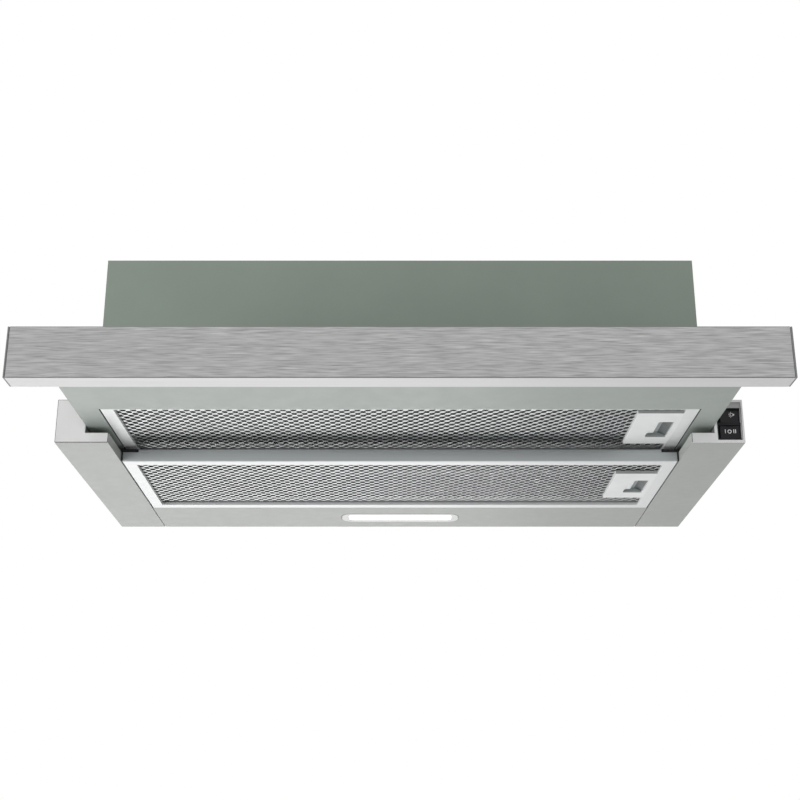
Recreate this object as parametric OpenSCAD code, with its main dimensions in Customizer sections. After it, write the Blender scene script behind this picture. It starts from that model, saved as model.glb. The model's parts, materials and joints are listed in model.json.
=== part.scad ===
// Pull-out range hood for a wall cabinet, drawn with its drawer pulled out.
// X runs to the right along the front panel, Y runs from the panel to the wall and Z runs up.
// The modules count Y from the front face of the lower body. seat() then brings the middle of
// the hood's depth to Y = 0. Z = 0 is the underside of the hood.

/* [Overall] */
// Width of the lower body and of the front panel
hood_w = 600; // [580:1:640]
// Height of the motor box top above the underside
hood_h = 174; // [170:1:200]
// Depth of the lower body and of the motor box
body_d = 298; // [292:1:320]
// Height of the lower body
body_h = 39.5; // [38.5:0.5:46]
// Width of the ledge on each side of the motor box
box_ledge = 34; // [28:0.5:40]
// How far the drawer stands out as stored
drawer_out = 140; // [120:1:140]
// Thickness of the folded steel sheets
sheet_t = 1; // [0.8:0.1:1.2]

/* [Front panel] */
// Height of the front panel
panel_h = 42; // [38:1:60]
// Thickness of the front panel
panel_t = 20; // [14:0.5:26]
// Wall of the panel's hollow profile
panel_wall = 1.6; // [1.2:0.1:2.4]
// Thickness of the brushed skin
panel_skin_t = 0.8; // [0.5:0.1:1.2]
// Seam left above and below the brushed skin
panel_seam = 0.5; // [0.3:0.1:1]
// Thickness of the panel's end caps
end_cap_t = 1.5; // [1:0.1:3]

/* [Side casings] */
// Width of a side casing's underside
side_w = 46.5; // [42:0.5:50]
// Width of the tall column at each outer side
column_w = 26; // [24:0.5:28]
// Height of the ledge under the drawer's edge
ledge_h = 9; // [8:0.5:9.5]
// Thickness of the front caps
cap_t = 2; // [1.5:0.1:3]
// Seam between the side casings and the rear strip
strip_seam = 0.6; // [0.3:0.1:1]

/* [Drawer] */
// Height of the drawer's underside
drawer_z = 15; // [14.5:0.5:16]
// Height of the drawer's sheet frame
drawer_h = 21; // [19:0.5:21]
// Side gap between the drawer's sheet and the front caps
drawer_gap = 0.5; // [0.3:0.1:0.8]
// Depth of the closed lip behind the front panel
lip_d = 95.2; // [80:0.2:98]
// How far the drawer still reaches into the body as stored
drawer_in = 150; // [140:1:150]
// How far the cover plate reaches into the body as stored
cover_in = 79; // [70:1:90]
// Thickness of the cover plate
cover_t = 0.8; // [0.6:0.1:1]
// Height of the folded rim around the front filter
rim_h = 8; // [7.5:0.5:10]

/* [Ball slides] */
// Thickness of a ball slide
slide_w = 12; // [11:0.5:13]
// Height of a ball slide
slide_h = 17; // [16:0.5:18]
// Thickness of the slide members
slide_t = 1.2; // [1:0.1:1.4]
// Radius of the balls
ball_r = 1; // [0.9:0.05:1.1]
// Number of balls in one race
balls = 6; // [4:1:8]

/* [Filters] */
// Front edge of the rear filter behind the body's front face
filter_y = 57; // [55:1:60]
// Depth of the strip behind the rear filter
rear_strip_d = 78.5; // [76.5:0.5:90.5]
// Depth of the front filter
front_filter_d = 133.6; // [130:0.2:140]
// Thickness of the filters
filter_h = 9; // [8.8:0.1:9.2]
// Gap between a rear filter's end and the ledge
filter_gap = 1.5; // [1.3:0.1:1.8]
// Gap between the front filter and the rim around it
rim_gap = 1.2; // [1.1:0.1:1.4]
// Wall of the filter frames
frame_wall = 1.2; // [1:0.1:1.4]
// Width of the bands around the mesh
frame_band = 11; // [10:0.5:14]
// Depth of the mesh behind the face of the frame
mesh_in = 3; // [2.5:0.1:3.4]
// Spacing of the mesh gaps along X
mesh_pitch_x = 36; // [32:0.5:48]
// Spacing of the mesh gaps along Y
mesh_pitch_y = 24; // [22:0.5:32]
// Width of the strands between the gaps
mesh_strand = 2.8; // [2:0.1:4]

/* [Filter latches] */
// Width of a handle plate
plate_w = 39; // [37:0.5:42]
// Depth of a handle plate
plate_d = 84; // [76:1:92]
// Distance of the handle plate's middle behind the front filter's front edge
front_plate_y = 52.6; // [50:0.2:60]
// Width of the finger recess
recess_w = 19.1; // [18:0.1:20]
// Depth of the finger recess
recess_d = 42; // [38:1:44]
// Width of the tab beside the thumb pad's edge, which makes the recess an L
pad_w = 6; // [5:0.1:6.5]
// Depth of the thumb pad
pad_d = 29.3; // [24:0.1:32]
// Width of the latch tongue
tongue_d = 15; // [12:0.5:18]
// Travel of the latch
latch_travel = 5.5; // [4:0.1:5.5]
// Wire radius of the latch spring
spring_wire_r = 0.3; // [0.25:0.05:0.35]
// Outer radius of the latch spring
spring_r = 1.9; // [1.6:0.1:2]
// Number of curls in the latch spring
spring_curls = 5; // [4:1:5]

/* [Lamp] */
// Width of the lamp's bezel
lamp_w = 122.4; // [110:0.2:140]
// Depth of the lamp's bezel
lamp_d = 34; // [30:0.5:38]
// Width of the lit lens
lens_w = 108; // [90:1:110]
// Depth of the lit lens
lens_d = 21.3; // [18:0.1:22]
// Distance of the lamp's middle from the rear of the hood
lamp_in = 37.3; // [33:0.1:40]

/* [Switches] */
// Width of a switch
switch_w = 21.6; // [20:0.1:22]
// Height of a switch
switch_h = 14.4; // [13.5:0.1:14.6]
// Vertical spacing of the two switches
switch_pitch = 14.7; // [14.7:0.1:15]
// Height of the lower switch's middle above the underside
switch_z = 10; // [9.6:0.1:10.2]
// Tilt of a rocker away from its middle
rocker_tilt = 8; // [6:0.5:9]

/* [Fan] */
// Outer radius of the impeller
impeller_r = 44; // [40:0.5:44.5]
// Length of the impeller
impeller_w = 104; // [90:1:110]
// Radial depth of the blades
blade_d = 9.5; // [8:0.5:11]
// Number of blades
blades = 32; // [24:1:36]
// Thickness of the blades
blade_t = 1; // [0.8:0.1:1.4]
// Room between each end of the impeller and the volute
volute_room = 8; // [7:0.5:12]
// Wall of the volute
volute_t = 2; // [1.5:0.1:3]
// Radial gap between the impeller and the start of the scroll
scroll_gap = 5; // [4:0.5:6]
// Growth of the scroll's radius over its three quarter turn
scroll_growth = 17; // [10:0.5:20]
// Radius of the motor
motor_r = 27; // [24:0.5:28]
// Radius of the motor shaft
shaft_r = 4; // [3:0.5:5]

/* [Outlet] */
// Outer radius of the duct collar
collar_r = 60; // [55:0.5:61]
// Wall of the duct collar
collar_t = 2; // [1.5:0.1:2.5]
// Height of the duct collar
collar_h = 28; // [26:1:40]
// Distance of the collar's middle from the body's front face
collar_y = 150; // [140:1:156]
// Radius of the damper pin
pin_r = 1.5; // [1.2:0.1:2]
// Thickness of the damper flaps
flap_t = 1; // [0.8:0.1:1.2]

/* [Electrics] */
// Width of the terminal box
terminal_w = 80; // [60:1:90]
// Depth of the terminal box
terminal_d = 60; // [50:1:66]
// Height of the terminal box
terminal_h = 35; // [28:1:40]
// Radius of the hole through the cable gland
gland_bore_r = 3.9; // [3:0.1:4.5]
// Radius of the wiring
wire_r = 1.8; // [1.2:0.1:2]

/* [Hidden] */
$fn = 64;

// Overrun of every cut past the face that it opens
cut = 1;
// Clearance of a piece that drops into its seat
fit_gap = 0.2;
// Radial clearance of a shaft in its bore
run_gap = 0.06;
// Gap between faces that move past each other
slip_gap = 0.3;

mid_y = (body_d - drawer_out - panel_t) / 2;
half_w = hood_w / 2;
box_x = half_w - box_ledge;
deck_z = body_h - sheet_t;
roof_z = hood_h - sheet_t;

// Side casings
side_x = half_w - side_w;
column_x = half_w - column_w;
casing_x = column_x + sheet_t;
flange_w = 12;
cabinet_hole_r = 2.25;
cabinet_hole_x = (box_x + half_w) / 2;
cabinet_hole_y = 40;
deck_rim = 15;
seat_lift = 0.5;
seat_rim = 2;
strip_gap = 0.5;
cap_plug_d = 8;
cap_plug_h = 4;

// Drawer
drawer_x = column_x - drawer_gap;
carrier_x = casing_x - slide_w;
front_y = -drawer_out;
lip_y = front_y + lip_d;
rim_x = half_w - side_w - filter_gap + rim_gap;
rim_top = drawer_z + sheet_t + rim_h;
drawer_top = drawer_z + drawer_h;
bar_d = 12;
bar_h = 14;
cross_d = 12.7;
lug_t = 2;
lug_h = 4.8;
stop_d = 3.7;
stop_in = 5;
stop_out = 4;

// Ball slides
slide_z = drawer_z + slide_t + slide_h / 2 + sheet_t + slip_gap;
race_h = ball_r * 2 + 2 * slip_gap;
race_z = slide_h / 2 - slide_t - race_h / 2;
inner_h = slide_h - 2 * slide_t - 2 * race_h;
member_w = slide_w * 2 / 3;
slide_in = 8;
slide_front = cap_t + cap_plug_d + slide_in / 2;
ball_x = casing_x - slide_w / 2;
cage_t = 0.6;
cage_w = 4.6;
cage_d = 100;
cage_y = 20;

// Filters
filter_x = side_x - filter_gap;
rear_filter_d = body_d - rear_strip_d - strip_gap - filter_y;
filter_tab = 5;
filter_tab_w = 14;
filter_tab_share = 0.3;
tab_z = 2.5;
window_up = 3.4;
strand_share = 0.7;
back_t = 0.8;
lip_gap = 0.5;
front_filter_y = lip_y + lip_gap;
rear_mid = filter_y + rear_filter_d / 2;
front_mid = front_filter_y + front_plate_y;

// Filter latches
plate_t = 1.5;
plate_x = filter_x - frame_band;
recess_in = 3.5;
recess_x = plate_x - recess_in;
recess_back_share = 0.45;
recess_r = 2.2;
pad_edge = 0.6;
housing_t = 1;
housing_in = 0.7;
housing_rim = 5;
housing_x = plate_x - housing_in;
housing_w = plate_w - housing_rim;
housing_d = 60;
housing_top = filter_h - housing_t;
scoop_r = 14;
dish_floor = 5.2;
dish_depth = 3;
tongue_z = 5.5;
tongue_t = 1.2;
tongue_out = 1;
stem_w = 5.2;
latch_stop = 1.2;
pad_hidden = recess_x - recess_w - housing_x + housing_w - housing_t - latch_travel - latch_stop;
pad_t = 1.5;
lug_y = 6.5;
keeper_t = 0.3;
keeper_h = 1.2;
keeper_d = 19;

// Lamp
lamp_y = body_d - lamp_in;
lamp_r = 12;
lens_r = 5;
lamp_h = 6;
lamp_lip = 2;
lens_t = 2.1;
lens_in = 0.3;
board_t = 1.6;
chips = 9;
chip_w = 3;
chip_h = 0.8;
plug_w = 6;
plug_d = 10;
plug_h = 4.4;
lamp_plug_x = 52;
lamp_plug_y = lamp_y - plug_d / 2;

// Switches
switch_x = (casing_x + sheet_t + half_w - sheet_t) / 2;
switch_in = 1.2;
switch_d = 17;
switch_wall = 1;
rocker_pivot = 5;
rocker_r = 9.5;
rocker_mid = 3.2;
rocker_end = 4.8;
rocker_back = 3;
rocker_pin_r = 1.2;
rocker_pin_out = 0.9;

// Fan
volute_w = impeller_w + 2 * (volute_room + volute_t);
fan_ahead = 4;
fan_y = collar_y - fan_ahead;
scroll_r = impeller_r + scroll_gap;
scroll_low_r = scroll_r + scroll_growth * 2 / 3;
fan_z = body_h + fit_gap + scroll_low_r + volute_t;
duct_side_y = fan_y + scroll_r + scroll_growth;
plenum_half = duct_side_y - collar_y;
plenum_z = fan_z + scroll_r + volute_t;
scroll_tongue = 10;
tongue_y = fan_y + scroll_tongue;
volute_flange = 9;
volute_flange_t = 2.5;
inlet_r = impeller_r - blade_d * 2 / 3;
blade_in = 0.3;
blade_sweep = 14;
hub_r = 10;
disc_t = 3;
hub_d = 14;
ring_t = 2;
motor_gap = 6;
mount_r = 5;
mount_d = 2.5;
mounts = 3;
mount_edge = 1;
mount_ring = inlet_r + mount_r + mount_edge;
bracket_t = 1.5;
arm_w = 10;
motor_x = -volute_w / 2 - mount_d;
shaft_in = 20;

// Outlet
collar_in_r = collar_r - collar_t;
collar_flange = 11;
collar_flange_t = 1.5;
collar_screw_ring = collar_r + collar_flange / 2;
pin_up = 14;
pin_z = hood_h + pin_up;
flap_gap = 0.8;
flap_r = collar_in_r - flap_gap;
flap_inner = 3;
stop_t = 1.5;
stop_w = 3;
knuckle_r = 2.6;
knuckle_d = 12;
knuckle_pitch = 15;

// Electrics
terminal_x = 130;
terminal_in = 93;
terminal_y = body_d - terminal_in;
terminal_t = 2;
gland_x = terminal_x + terminal_w / 2;
gland_y = terminal_y + terminal_d / 2;
gland_r = 9;
gland_h = 12;
gland_shank_r = 7.8;
gland_nut_r = 10.5;
gland_nut_t = 5;
micro_w = 20;
micro_d = 6;
micro_x = 150;
micro_z = 18;
micro_h = 10;
lever_t = 0.4;
lever_out = 4;
lever_root = 2;

// Screws
screw_r = 1.6;
screw_gap = 0.05;
head_r = 3.2;
head_t = 2;
box_screw_shares = [0.2, 0.5, 0.8];
panel_screw_shares = [-0.34, -0.12, 0.12, 0.34];
panel_screw_in = 6;

// Routes of the wiring, as x, y, z points
hole_gap = 0.6;
wire_gap = 1;
wire_turn = 6.2;
wire_y = body_d - sheet_t - wire_r - wire_gap;
wire_x = terminal_x + terminal_w + 30;
wire_down_x = terminal_x - 30;
terminal_end = terminal_x + terminal_w;
terminal_back = terminal_y + terminal_d;
motor_back = motor_x - bracket_t;
lead_x = switch_x - 0.5;
lead_z = body_h - 9.5;
lamp_lead_y = lamp_y + 17.3;
switch_lead = [
    [terminal_end + fit_gap, gland_y + 15, 150], [wire_x - 4, gland_y + 15, 150], [wire_x, gland_y + 19, 148],
    [wire_x, wire_y - wire_turn, 148], [wire_x, wire_y, 142], [wire_x, wire_y, lead_z + 6],
    [wire_x + 6, wire_y, lead_z], [lead_x - 5, wire_y, lead_z], [lead_x, wire_y - 5.2, lead_z],
    [lead_x, 60, lead_z], [lead_x, 40, 24.7], [lead_x, 18.4, 24.7]
];
lamp_lead = [
    [terminal_x + 15, terminal_back + fit_gap, 150], [terminal_x + 15, wire_y - wire_turn, 150],
    [terminal_x + 9, wire_y, 150], [wire_down_x + 6, wire_y, 150], [wire_down_x, wire_y, 144],
    [wire_down_x, wire_y, 16], [wire_down_x, wire_y - 5.2, 10.5], [wire_down_x, lamp_lead_y + 5, 10.5],
    [wire_down_x - 5, lamp_lead_y, 10.5], [lamp_plug_x + 4, lamp_lead_y, 10.5],
    [lamp_plug_x, lamp_lead_y - 4, 10.5], [lamp_plug_x, lamp_plug_y + plug_d + fit_gap, 10.5]
];
motor_lead = [
    [terminal_x - fit_gap, gland_y, 146], [motor_back - 8, gland_y, 146], [motor_back - 18, gland_y - 7, 142],
    [motor_back - 18, fan_y + 14, 110], [motor_back - 12, fan_y + 2, 104], [motor_back - fit_gap, fan_y, 102]
];

// Places a piece whose Y is counted from the body's front face
module seat() {
    translate([0, -mid_y, 0]) children();
}

// A block given by its ends on each axis
module slab(x, y, z) {
    translate([x[0], y[0], z[0]]) cube([x[1] - x[0], y[1] - y[0], z[1] - z[0]]);
}

// Mirrors a piece drawn on the right to the left when side is -1
module on_side(side) {
    if (side < 0) mirror([1, 0, 0]) children();
    else children();
}

module both_sides() {
    on_side(1) children();
    on_side(-1) children();
}

// Extrudes an outline of x and z from y[0] to y[1]
module along_y(y) {
    translate([0, y[1], 0]) rotate([90, 0, 0]) linear_extrude(y[1] - y[0]) children();
}

// Extrudes an outline of y and z from x[0] to x[1]
module along_x(x) {
    translate([x[0], 0, 0]) rotate([90, 0, 90]) linear_extrude(x[1] - x[0]) children();
}

module rounded(w, d, r) {
    square([w - 2 * r, d], center = true);
    square([w, d - 2 * r], center = true);
    for (x = [-1, 1], y = [-1, 1]) translate([x * (w / 2 - r), y * (d / 2 - r)]) circle(r);
}

function unit(v) = v / norm(v);

// Direction of a path at point i, the middle way between its two stretches
function heading(p, i) =
    let (back = i > 0 ? unit(p[i] - p[i - 1]) : [0, 0, 0])
    let (ahead = i < len(p) - 1 ? unit(p[i + 1] - p[i]) : [0, 0, 0])
    unit(back + ahead);

// Side vector at each point, carried along the path without twist
function sides_of(p, i, last) =
    let (h = heading(p, i))
    let (s = unit(last - h * (last * h)))
    i == len(p) - 1 ? [s] : concat([s], sides_of(p, i + 1, s));

// A round tube of radius r along the points of a path
module tube(p, r, n) {
    first = abs(heading(p, 0)[2]) > 0.9 ? [1, 0, 0] : [0, 0, 1];
    side = sides_of(p, 0, first);
    rings = [
        for (i = [0 : len(p) - 1], k = [0 : n - 1])
            let (h = heading(p, i))
            let (turn = 360 * k / n)
            p[i] + r * cos(turn) * side[i] + r * sin(turn) * cross(h, side[i])
    ];
    last = (len(p) - 1) * n;
    faces = concat(
        [for (k = [1 : n - 2]) [0, k + 1, k]],
        [for (k = [1 : n - 2]) [last, last + k, last + k + 1]],
        [for (i = [0 : len(p) - 2], k = [0 : n - 1]) [i * n + k, i * n + (k + 1) % n, (i + 1) * n + k]],
        [
            for (i = [0 : len(p) - 2], k = [0 : n - 1])
                [i * n + (k + 1) % n, (i + 1) * n + (k + 1) % n, (i + 1) * n + k]
        ]
    );
    polyhedron(points = rings, faces = [for (f = faces) [f[2], f[1], f[0]]]);
}

module cabinet_holes() {
    both_sides() for (y = [cabinet_hole_y, body_d - cabinet_hole_y])
        translate([cabinet_hole_x, y, deck_z - sheet_t - cut])
            cylinder(h = 2 * sheet_t + 2 * cut, r = cabinet_hole_r);
}

// Places of the screws that join the deck to the flanges of the box
module box_screw_places() {
    both_sides() for (share = box_screw_shares)
        translate([box_x - flange_w / 2, body_d * share, deck_z]) children();
}

module box_screw_holes() {
    box_screw_places() translate([0, 0, -cut]) cylinder(h = 2 * sheet_t + 2 * cut, r = screw_r + screw_gap);
}

module motor_box() {
    color("#8a968b") seat() difference() {
        union() {
            slab([-box_x, box_x], [0, sheet_t], [body_h, hood_h]);
            slab([-box_x + sheet_t, box_x - sheet_t], [sheet_t, flange_w], [body_h, body_h + sheet_t]);
            both_sides() {
                slab([box_x - sheet_t, box_x], [sheet_t, body_d], [body_h, hood_h]);
                slab(
                    [box_x - flange_w, box_x - sheet_t], [flange_w, body_d - sheet_t],
                    [body_h, body_h + sheet_t]
                );
            }
        }
        box_screw_holes();
    }
}

module collar_screw_places() {
    for (turn = [45 : 90 : 315])
        translate([0, collar_y, 0]) rotate([0, 0, turn]) translate([collar_screw_ring, 0, 0]) children();
}

module top_plate() {
    color("#9aa39b") seat() difference() {
        union() {
            slab([-box_x + sheet_t, box_x - sheet_t], [sheet_t, body_d - sheet_t], [roof_z, hood_h]);
            both_sides() slab(
                [box_x - 2 * sheet_t, box_x - sheet_t], [sheet_t, body_d - sheet_t],
                [roof_z - flange_w, roof_z]
            );
            for (y = [sheet_t, body_d - 2 * sheet_t]) slab(
                [-box_x + 2 * sheet_t, box_x - 2 * sheet_t], [y, y + sheet_t],
                [roof_z - flange_w, roof_z]
            );
        }
        translate([0, collar_y, roof_z - cut]) cylinder(h = sheet_t + 2 * cut, r = collar_in_r);
        translate([gland_x, gland_y, roof_z - cut])
            cylinder(h = sheet_t + 2 * cut, r = gland_shank_r + fit_gap);
        collar_screw_places() translate([0, 0, roof_z - cut])
            cylinder(h = sheet_t + 2 * cut, r = screw_r + screw_gap);
    }
}

module rear_panel() {
    low_x = casing_x - fit_gap;
    top_x = box_x - sheet_t;
    color("#9aa39b") seat() along_y([body_d - sheet_t, body_d])
        polygon([
            [-low_x, ledge_h + fit_gap], [low_x, ledge_h + fit_gap], [low_x, body_h], [top_x, body_h],
            [top_x, hood_h], [-top_x, hood_h], [-top_x, body_h], [-low_x, body_h]
        ]);
}

// The deck, with a raised seat on each side that the cabinet's bottom edge rests on
module deck_plate() {
    color("#b4b8b3") seat() difference() {
        union() {
            slab([-half_w, half_w], [0, body_d - sheet_t], [deck_z, body_h]);
            both_sides() slab(
                [box_x + seat_rim, half_w - seat_rim], [cap_t + seat_rim, body_d - sheet_t - seat_rim],
                [body_h, body_h + seat_lift]
            );
        }
        both_sides() slab([column_x, half_w + cut], [-cut, cap_t], [deck_z - cut, body_h + cut]);
        slab(
            [-box_x + deck_rim, box_x - deck_rim], [deck_rim, body_d - deck_rim],
            [deck_z - cut, body_h + cut]
        );
        cabinet_holes();
        box_screw_holes();
        for (x = [switch_lead[4][0], lamp_lead[4][0]])
            translate([x, wire_y, deck_z - cut]) cylinder(h = sheet_t + 2 * cut, r = wire_r + hole_gap);
    }
}

function casing_points(inset) = [
    [side_x + inset, inset], [half_w - inset, inset], [half_w - inset, deck_z - inset],
    [casing_x + inset, deck_z - inset], [casing_x + inset, ledge_h - inset], [side_x + inset, ledge_h - inset]
];

// Windows that the tabs at a filter's left end reach into
module tab_windows(y, d, z, x, t) {
    for (k = [-1, 1])
        slab(
            [-x - t - cut, -x + cut],
            [
                y + d / 2 + k * d * filter_tab_share - filter_tab_w / 2 - slip_gap,
                y + d / 2 + k * d * filter_tab_share + filter_tab_w / 2 + slip_gap
            ],
            [z + tab_z - slip_gap, z + tab_z + window_up]
        );
}

module side_casing(side) {
    color("#b9bcb8") seat() difference() {
        on_side(side) difference() {
            along_y([cap_t, body_d]) polygon(casing_points(0));
            along_y([cap_t - cut, body_d - sheet_t]) polygon(casing_points(sheet_t));
        }
        cabinet_holes();
        if (side < 0) tab_windows(filter_y, rear_filter_d, 0, side_x, sheet_t);
        if (side > 0)
            translate([casing_x - cut, wire_y, switch_lead[7][2]]) rotate([0, 90, 0])
                cylinder(h = sheet_t + 2 * cut, r = wire_r + hole_gap);
    }
}

module side_casing_left() {
    side_casing(-1);
}

module side_casing_right() {
    side_casing(1);
}

module rear_strip() {
    y = filter_y + rear_filter_d + strip_gap;
    x = side_x - strip_seam;
    color("#bbbeba") seat() {
        difference() {
            slab([-x, x], [y, body_d], [0, sheet_t]);
            translate([0, lamp_y, -cut]) linear_extrude(sheet_t + 2 * cut)
                rounded(lamp_w + 2 * fit_gap, lamp_d + 2 * fit_gap, lamp_r + fit_gap);
        }
        slab([-x, x], [y, y + sheet_t], [sheet_t, ledge_h]);
        slab([-x, x], [body_d - sheet_t, body_d], [sheet_t, ledge_h]);
    }
}

module front_cap(side) {
    window_z = switch_z - switch_h / 2 - fit_gap;
    window_top = switch_z + switch_pitch + switch_h / 2 + fit_gap;
    color("#d2d2d0") seat() on_side(side) {
        difference() {
            along_y([0, cap_t]) polygon([
                [side_x, 0], [half_w, 0], [half_w, body_h],
                [column_x, body_h], [column_x, ledge_h], [side_x, ledge_h]
            ]);
            if (side > 0)
                slab(
                    [switch_x - switch_w / 2 - fit_gap, switch_x + switch_w / 2 + fit_gap],
                    [-cut, cap_t + cut], [window_z, window_top]
                );
        }
        slab(
            [side_x + sheet_t + fit_gap, column_x - sheet_t], [cap_t, cap_t + cap_plug_d],
            [sheet_t + fit_gap, ledge_h - sheet_t - fit_gap]
        );
        slab(
            [casing_x + sheet_t + fit_gap, half_w - sheet_t - fit_gap], [cap_t, cap_t + cap_plug_d],
            [deck_z - sheet_t - fit_gap - cap_plug_h, deck_z - sheet_t - fit_gap]
        );
    }
}

module front_cap_left() {
    front_cap(-1);
}

module front_cap_right() {
    front_cap(1);
}

module lamp_bezel() {
    shelf = lens_in + lens_t;
    color("#e8eaea") seat() translate([0, lamp_y, 0]) difference() {
        union() {
            linear_extrude(lamp_h) rounded(lamp_w, lamp_d, lamp_r);
            translate([0, 0, sheet_t]) linear_extrude(lamp_lip)
                rounded(lamp_w + 2 * lamp_lip, lamp_d + 2 * lamp_lip, lamp_r + lamp_lip);
        }
        translate([0, 0, -cut]) linear_extrude(lamp_h + 2 * cut) rounded(lens_w, lens_d, lens_r);
        translate([0, 0, shelf]) linear_extrude(lamp_h + cut)
            rounded(lens_w + 2 * lamp_lip, lens_d + 2 * lamp_lip, lens_r + lamp_lip);
    }
}

module lamp_lens() {
    color("#fdfdfb") seat() translate([0, lamp_y, lens_in]) {
        linear_extrude(lens_t) rounded(lens_w - 2 * fit_gap, lens_d - 2 * fit_gap, lens_r - fit_gap);
        translate([0, 0, lens_t]) linear_extrude(sheet_t)
            rounded(
                lens_w + 2 * lamp_lip - 2 * fit_gap, lens_d + 2 * lamp_lip - 2 * fit_gap,
                lens_r + lamp_lip - fit_gap
            );
    }
}

module lamp_board() {
    w = lens_w + 4 * lamp_lip;
    d = lens_d + 4 * lamp_lip;
    seat() translate([0, lamp_y, lamp_h]) {
        color("#4d7a55") translate([-w / 2, -d / 2, 0]) cube([w, d, board_t]);
        color("#f4e9a0") for (k = [0 : chips - 1])
            translate([(k - (chips - 1) / 2) * lens_w / chips - chip_w / 2, -chip_w / 2, -chip_h])
                cube([chip_w, chip_w, chip_h]);
        color("#f0f0ee") translate([lamp_plug_x - plug_w / 2, lamp_plug_y - lamp_y, board_t])
            cube([plug_w, plug_d, plug_h]);
    }
}

function scroll_at(turn) = scroll_r + scroll_growth * turn / 270;

// The scroll's void with the duct and the plenum above it, grown by a wall
module scroll_outline(wall, top) {
    polygon(concat(
        [[fan_y, fan_z]],
        [for (turn = [0 : 10 : 270]) [
            fan_y - (scroll_at(turn) + wall) * sin(turn), fan_z + (scroll_at(turn) + wall) * cos(turn)
        ]]
    ));
    translate([fan_y, fan_z]) circle(scroll_r + wall);
    translate([tongue_y - wall, fan_z]) square([duct_side_y - tongue_y + 2 * wall, top - fan_z]);
    translate([collar_y - plenum_half - wall, plenum_z - wall])
        square([2 * plenum_half + 2 * wall, top - plenum_z + wall]);
}

module volute(side) {
    half = volute_w / 2;
    reach = plenum_half + volute_t + volute_flange;
    color("#3a3d3e") seat() on_side(side) difference() {
        union() {
            along_x([0, half]) scroll_outline(volute_t, roof_z);
            slab(
                [0, half + volute_flange], [collar_y - reach, collar_y + reach],
                [roof_z - volute_flange_t, roof_z]
            );
        }
        along_x([-cut, half - volute_t]) scroll_outline(0, roof_z + cut);
        translate([half - volute_t - cut, fan_y, fan_z]) rotate([0, 90, 0])
            cylinder(h = volute_t + 2 * cut, r = inlet_r);
    }
}

module volute_left() {
    volute(-1);
}

module volute_right() {
    volute(1);
}

// Brings a piece drawn around the Z axis to the fan's axis, with its foot at x
module on_fan_axis(x) {
    seat() translate([x, fan_y, fan_z]) rotate([0, 90, 0]) children();
}

module motor() {
    length = -motor_x - motor_gap;
    color("#8f9496") on_fan_axis(motor_x) difference() {
        union() {
            cylinder(h = length, r = motor_r);
            cylinder(h = length + hub_r / 2, r = hub_r);
        }
        translate([0, 0, length - shaft_in]) cylinder(h = shaft_in + hub_r, r = shaft_r + run_gap);
    }
}

module mount_places() {
    for (k = [0 : mounts - 1]) rotate([0, 0, 60 + 360 * k / mounts]) translate([mount_ring, 0, 0]) children();
}

module motor_bracket() {
    color("#b0b4b6") on_fan_axis(motor_x - bracket_t) {
        difference() {
            union() {
                cylinder(h = bracket_t, r = motor_r + mount_d);
                for (k = [0 : mounts - 1]) rotate([0, 0, 60 + 360 * k / mounts])
                    translate([0, -arm_w / 2, 0]) cube([mount_ring, arm_w, bracket_t]);
                mount_places() cylinder(h = bracket_t, r = mount_r);
            }
            mount_places() translate([0, 0, -cut]) cylinder(h = bracket_t + 2 * cut, r = screw_r + screw_gap);
        }
    }
}

module motor_mounts() {
    color("#26282a") on_fan_axis(motor_x) mount_places() difference() {
        cylinder(h = mount_d, r = mount_r);
        translate([0, 0, -cut]) cylinder(h = mount_d + 2 * cut, r = screw_r + screw_gap);
    }
}

module motor_shaft() {
    color("#d5d8da") on_fan_axis(-motor_gap - shaft_in + slip_gap)
        cylinder(h = shaft_in - slip_gap + motor_gap + disc_t + hub_d, r = shaft_r);
}

module impeller() {
    reach = impeller_w / 2;
    color("#2e3032") on_fan_axis(-reach) difference() {
        union() {
            for (z = [0, impeller_w - ring_t]) translate([0, 0, z]) difference() {
                cylinder(h = ring_t, r = impeller_r);
                translate([0, 0, -cut]) cylinder(h = ring_t + 2 * cut, r = impeller_r - blade_d);
            }
            translate([0, 0, reach]) cylinder(h = disc_t, r = impeller_r);
            translate([0, 0, reach]) cylinder(h = hub_d, r = hub_r);
            linear_extrude(impeller_w) for (k = [0 : blades - 1]) rotate(360 * k / blades) blade();
        }
        translate([0, 0, reach - cut]) cylinder(h = hub_d + 2 * cut, r = shaft_r + screw_gap);
    }
}

// One forward-curved blade, seen along the fan's axis
module blade() {
    inner = impeller_r - blade_d + blade_in;
    outer = impeller_r - blade_in;
    steps = 4;
    turns = [for (k = [0 : steps]) blade_sweep * pow(k / steps, 2)];
    line = [for (k = [0 : steps]) (inner + (outer - inner) * k / steps) * [cos(turns[k]), sin(turns[k])]];
    back = [for (k = [steps : -1 : 0]) line[k] + blade_t * [-sin(turns[k]), cos(turns[k])]];
    polygon(concat(line, back));
}

module terminal_box() {
    color("#e3e2dc") seat() difference() {
        slab(
            [terminal_x, terminal_x + terminal_w], [terminal_y, terminal_y + terminal_d],
            [roof_z - terminal_h, roof_z]
        );
        slab(
            [terminal_x + terminal_t, terminal_x + terminal_w - terminal_t],
            [terminal_y + terminal_t, terminal_y + terminal_d - terminal_t],
            [roof_z - terminal_h + terminal_t, roof_z + cut]
        );
    }
}

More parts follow.
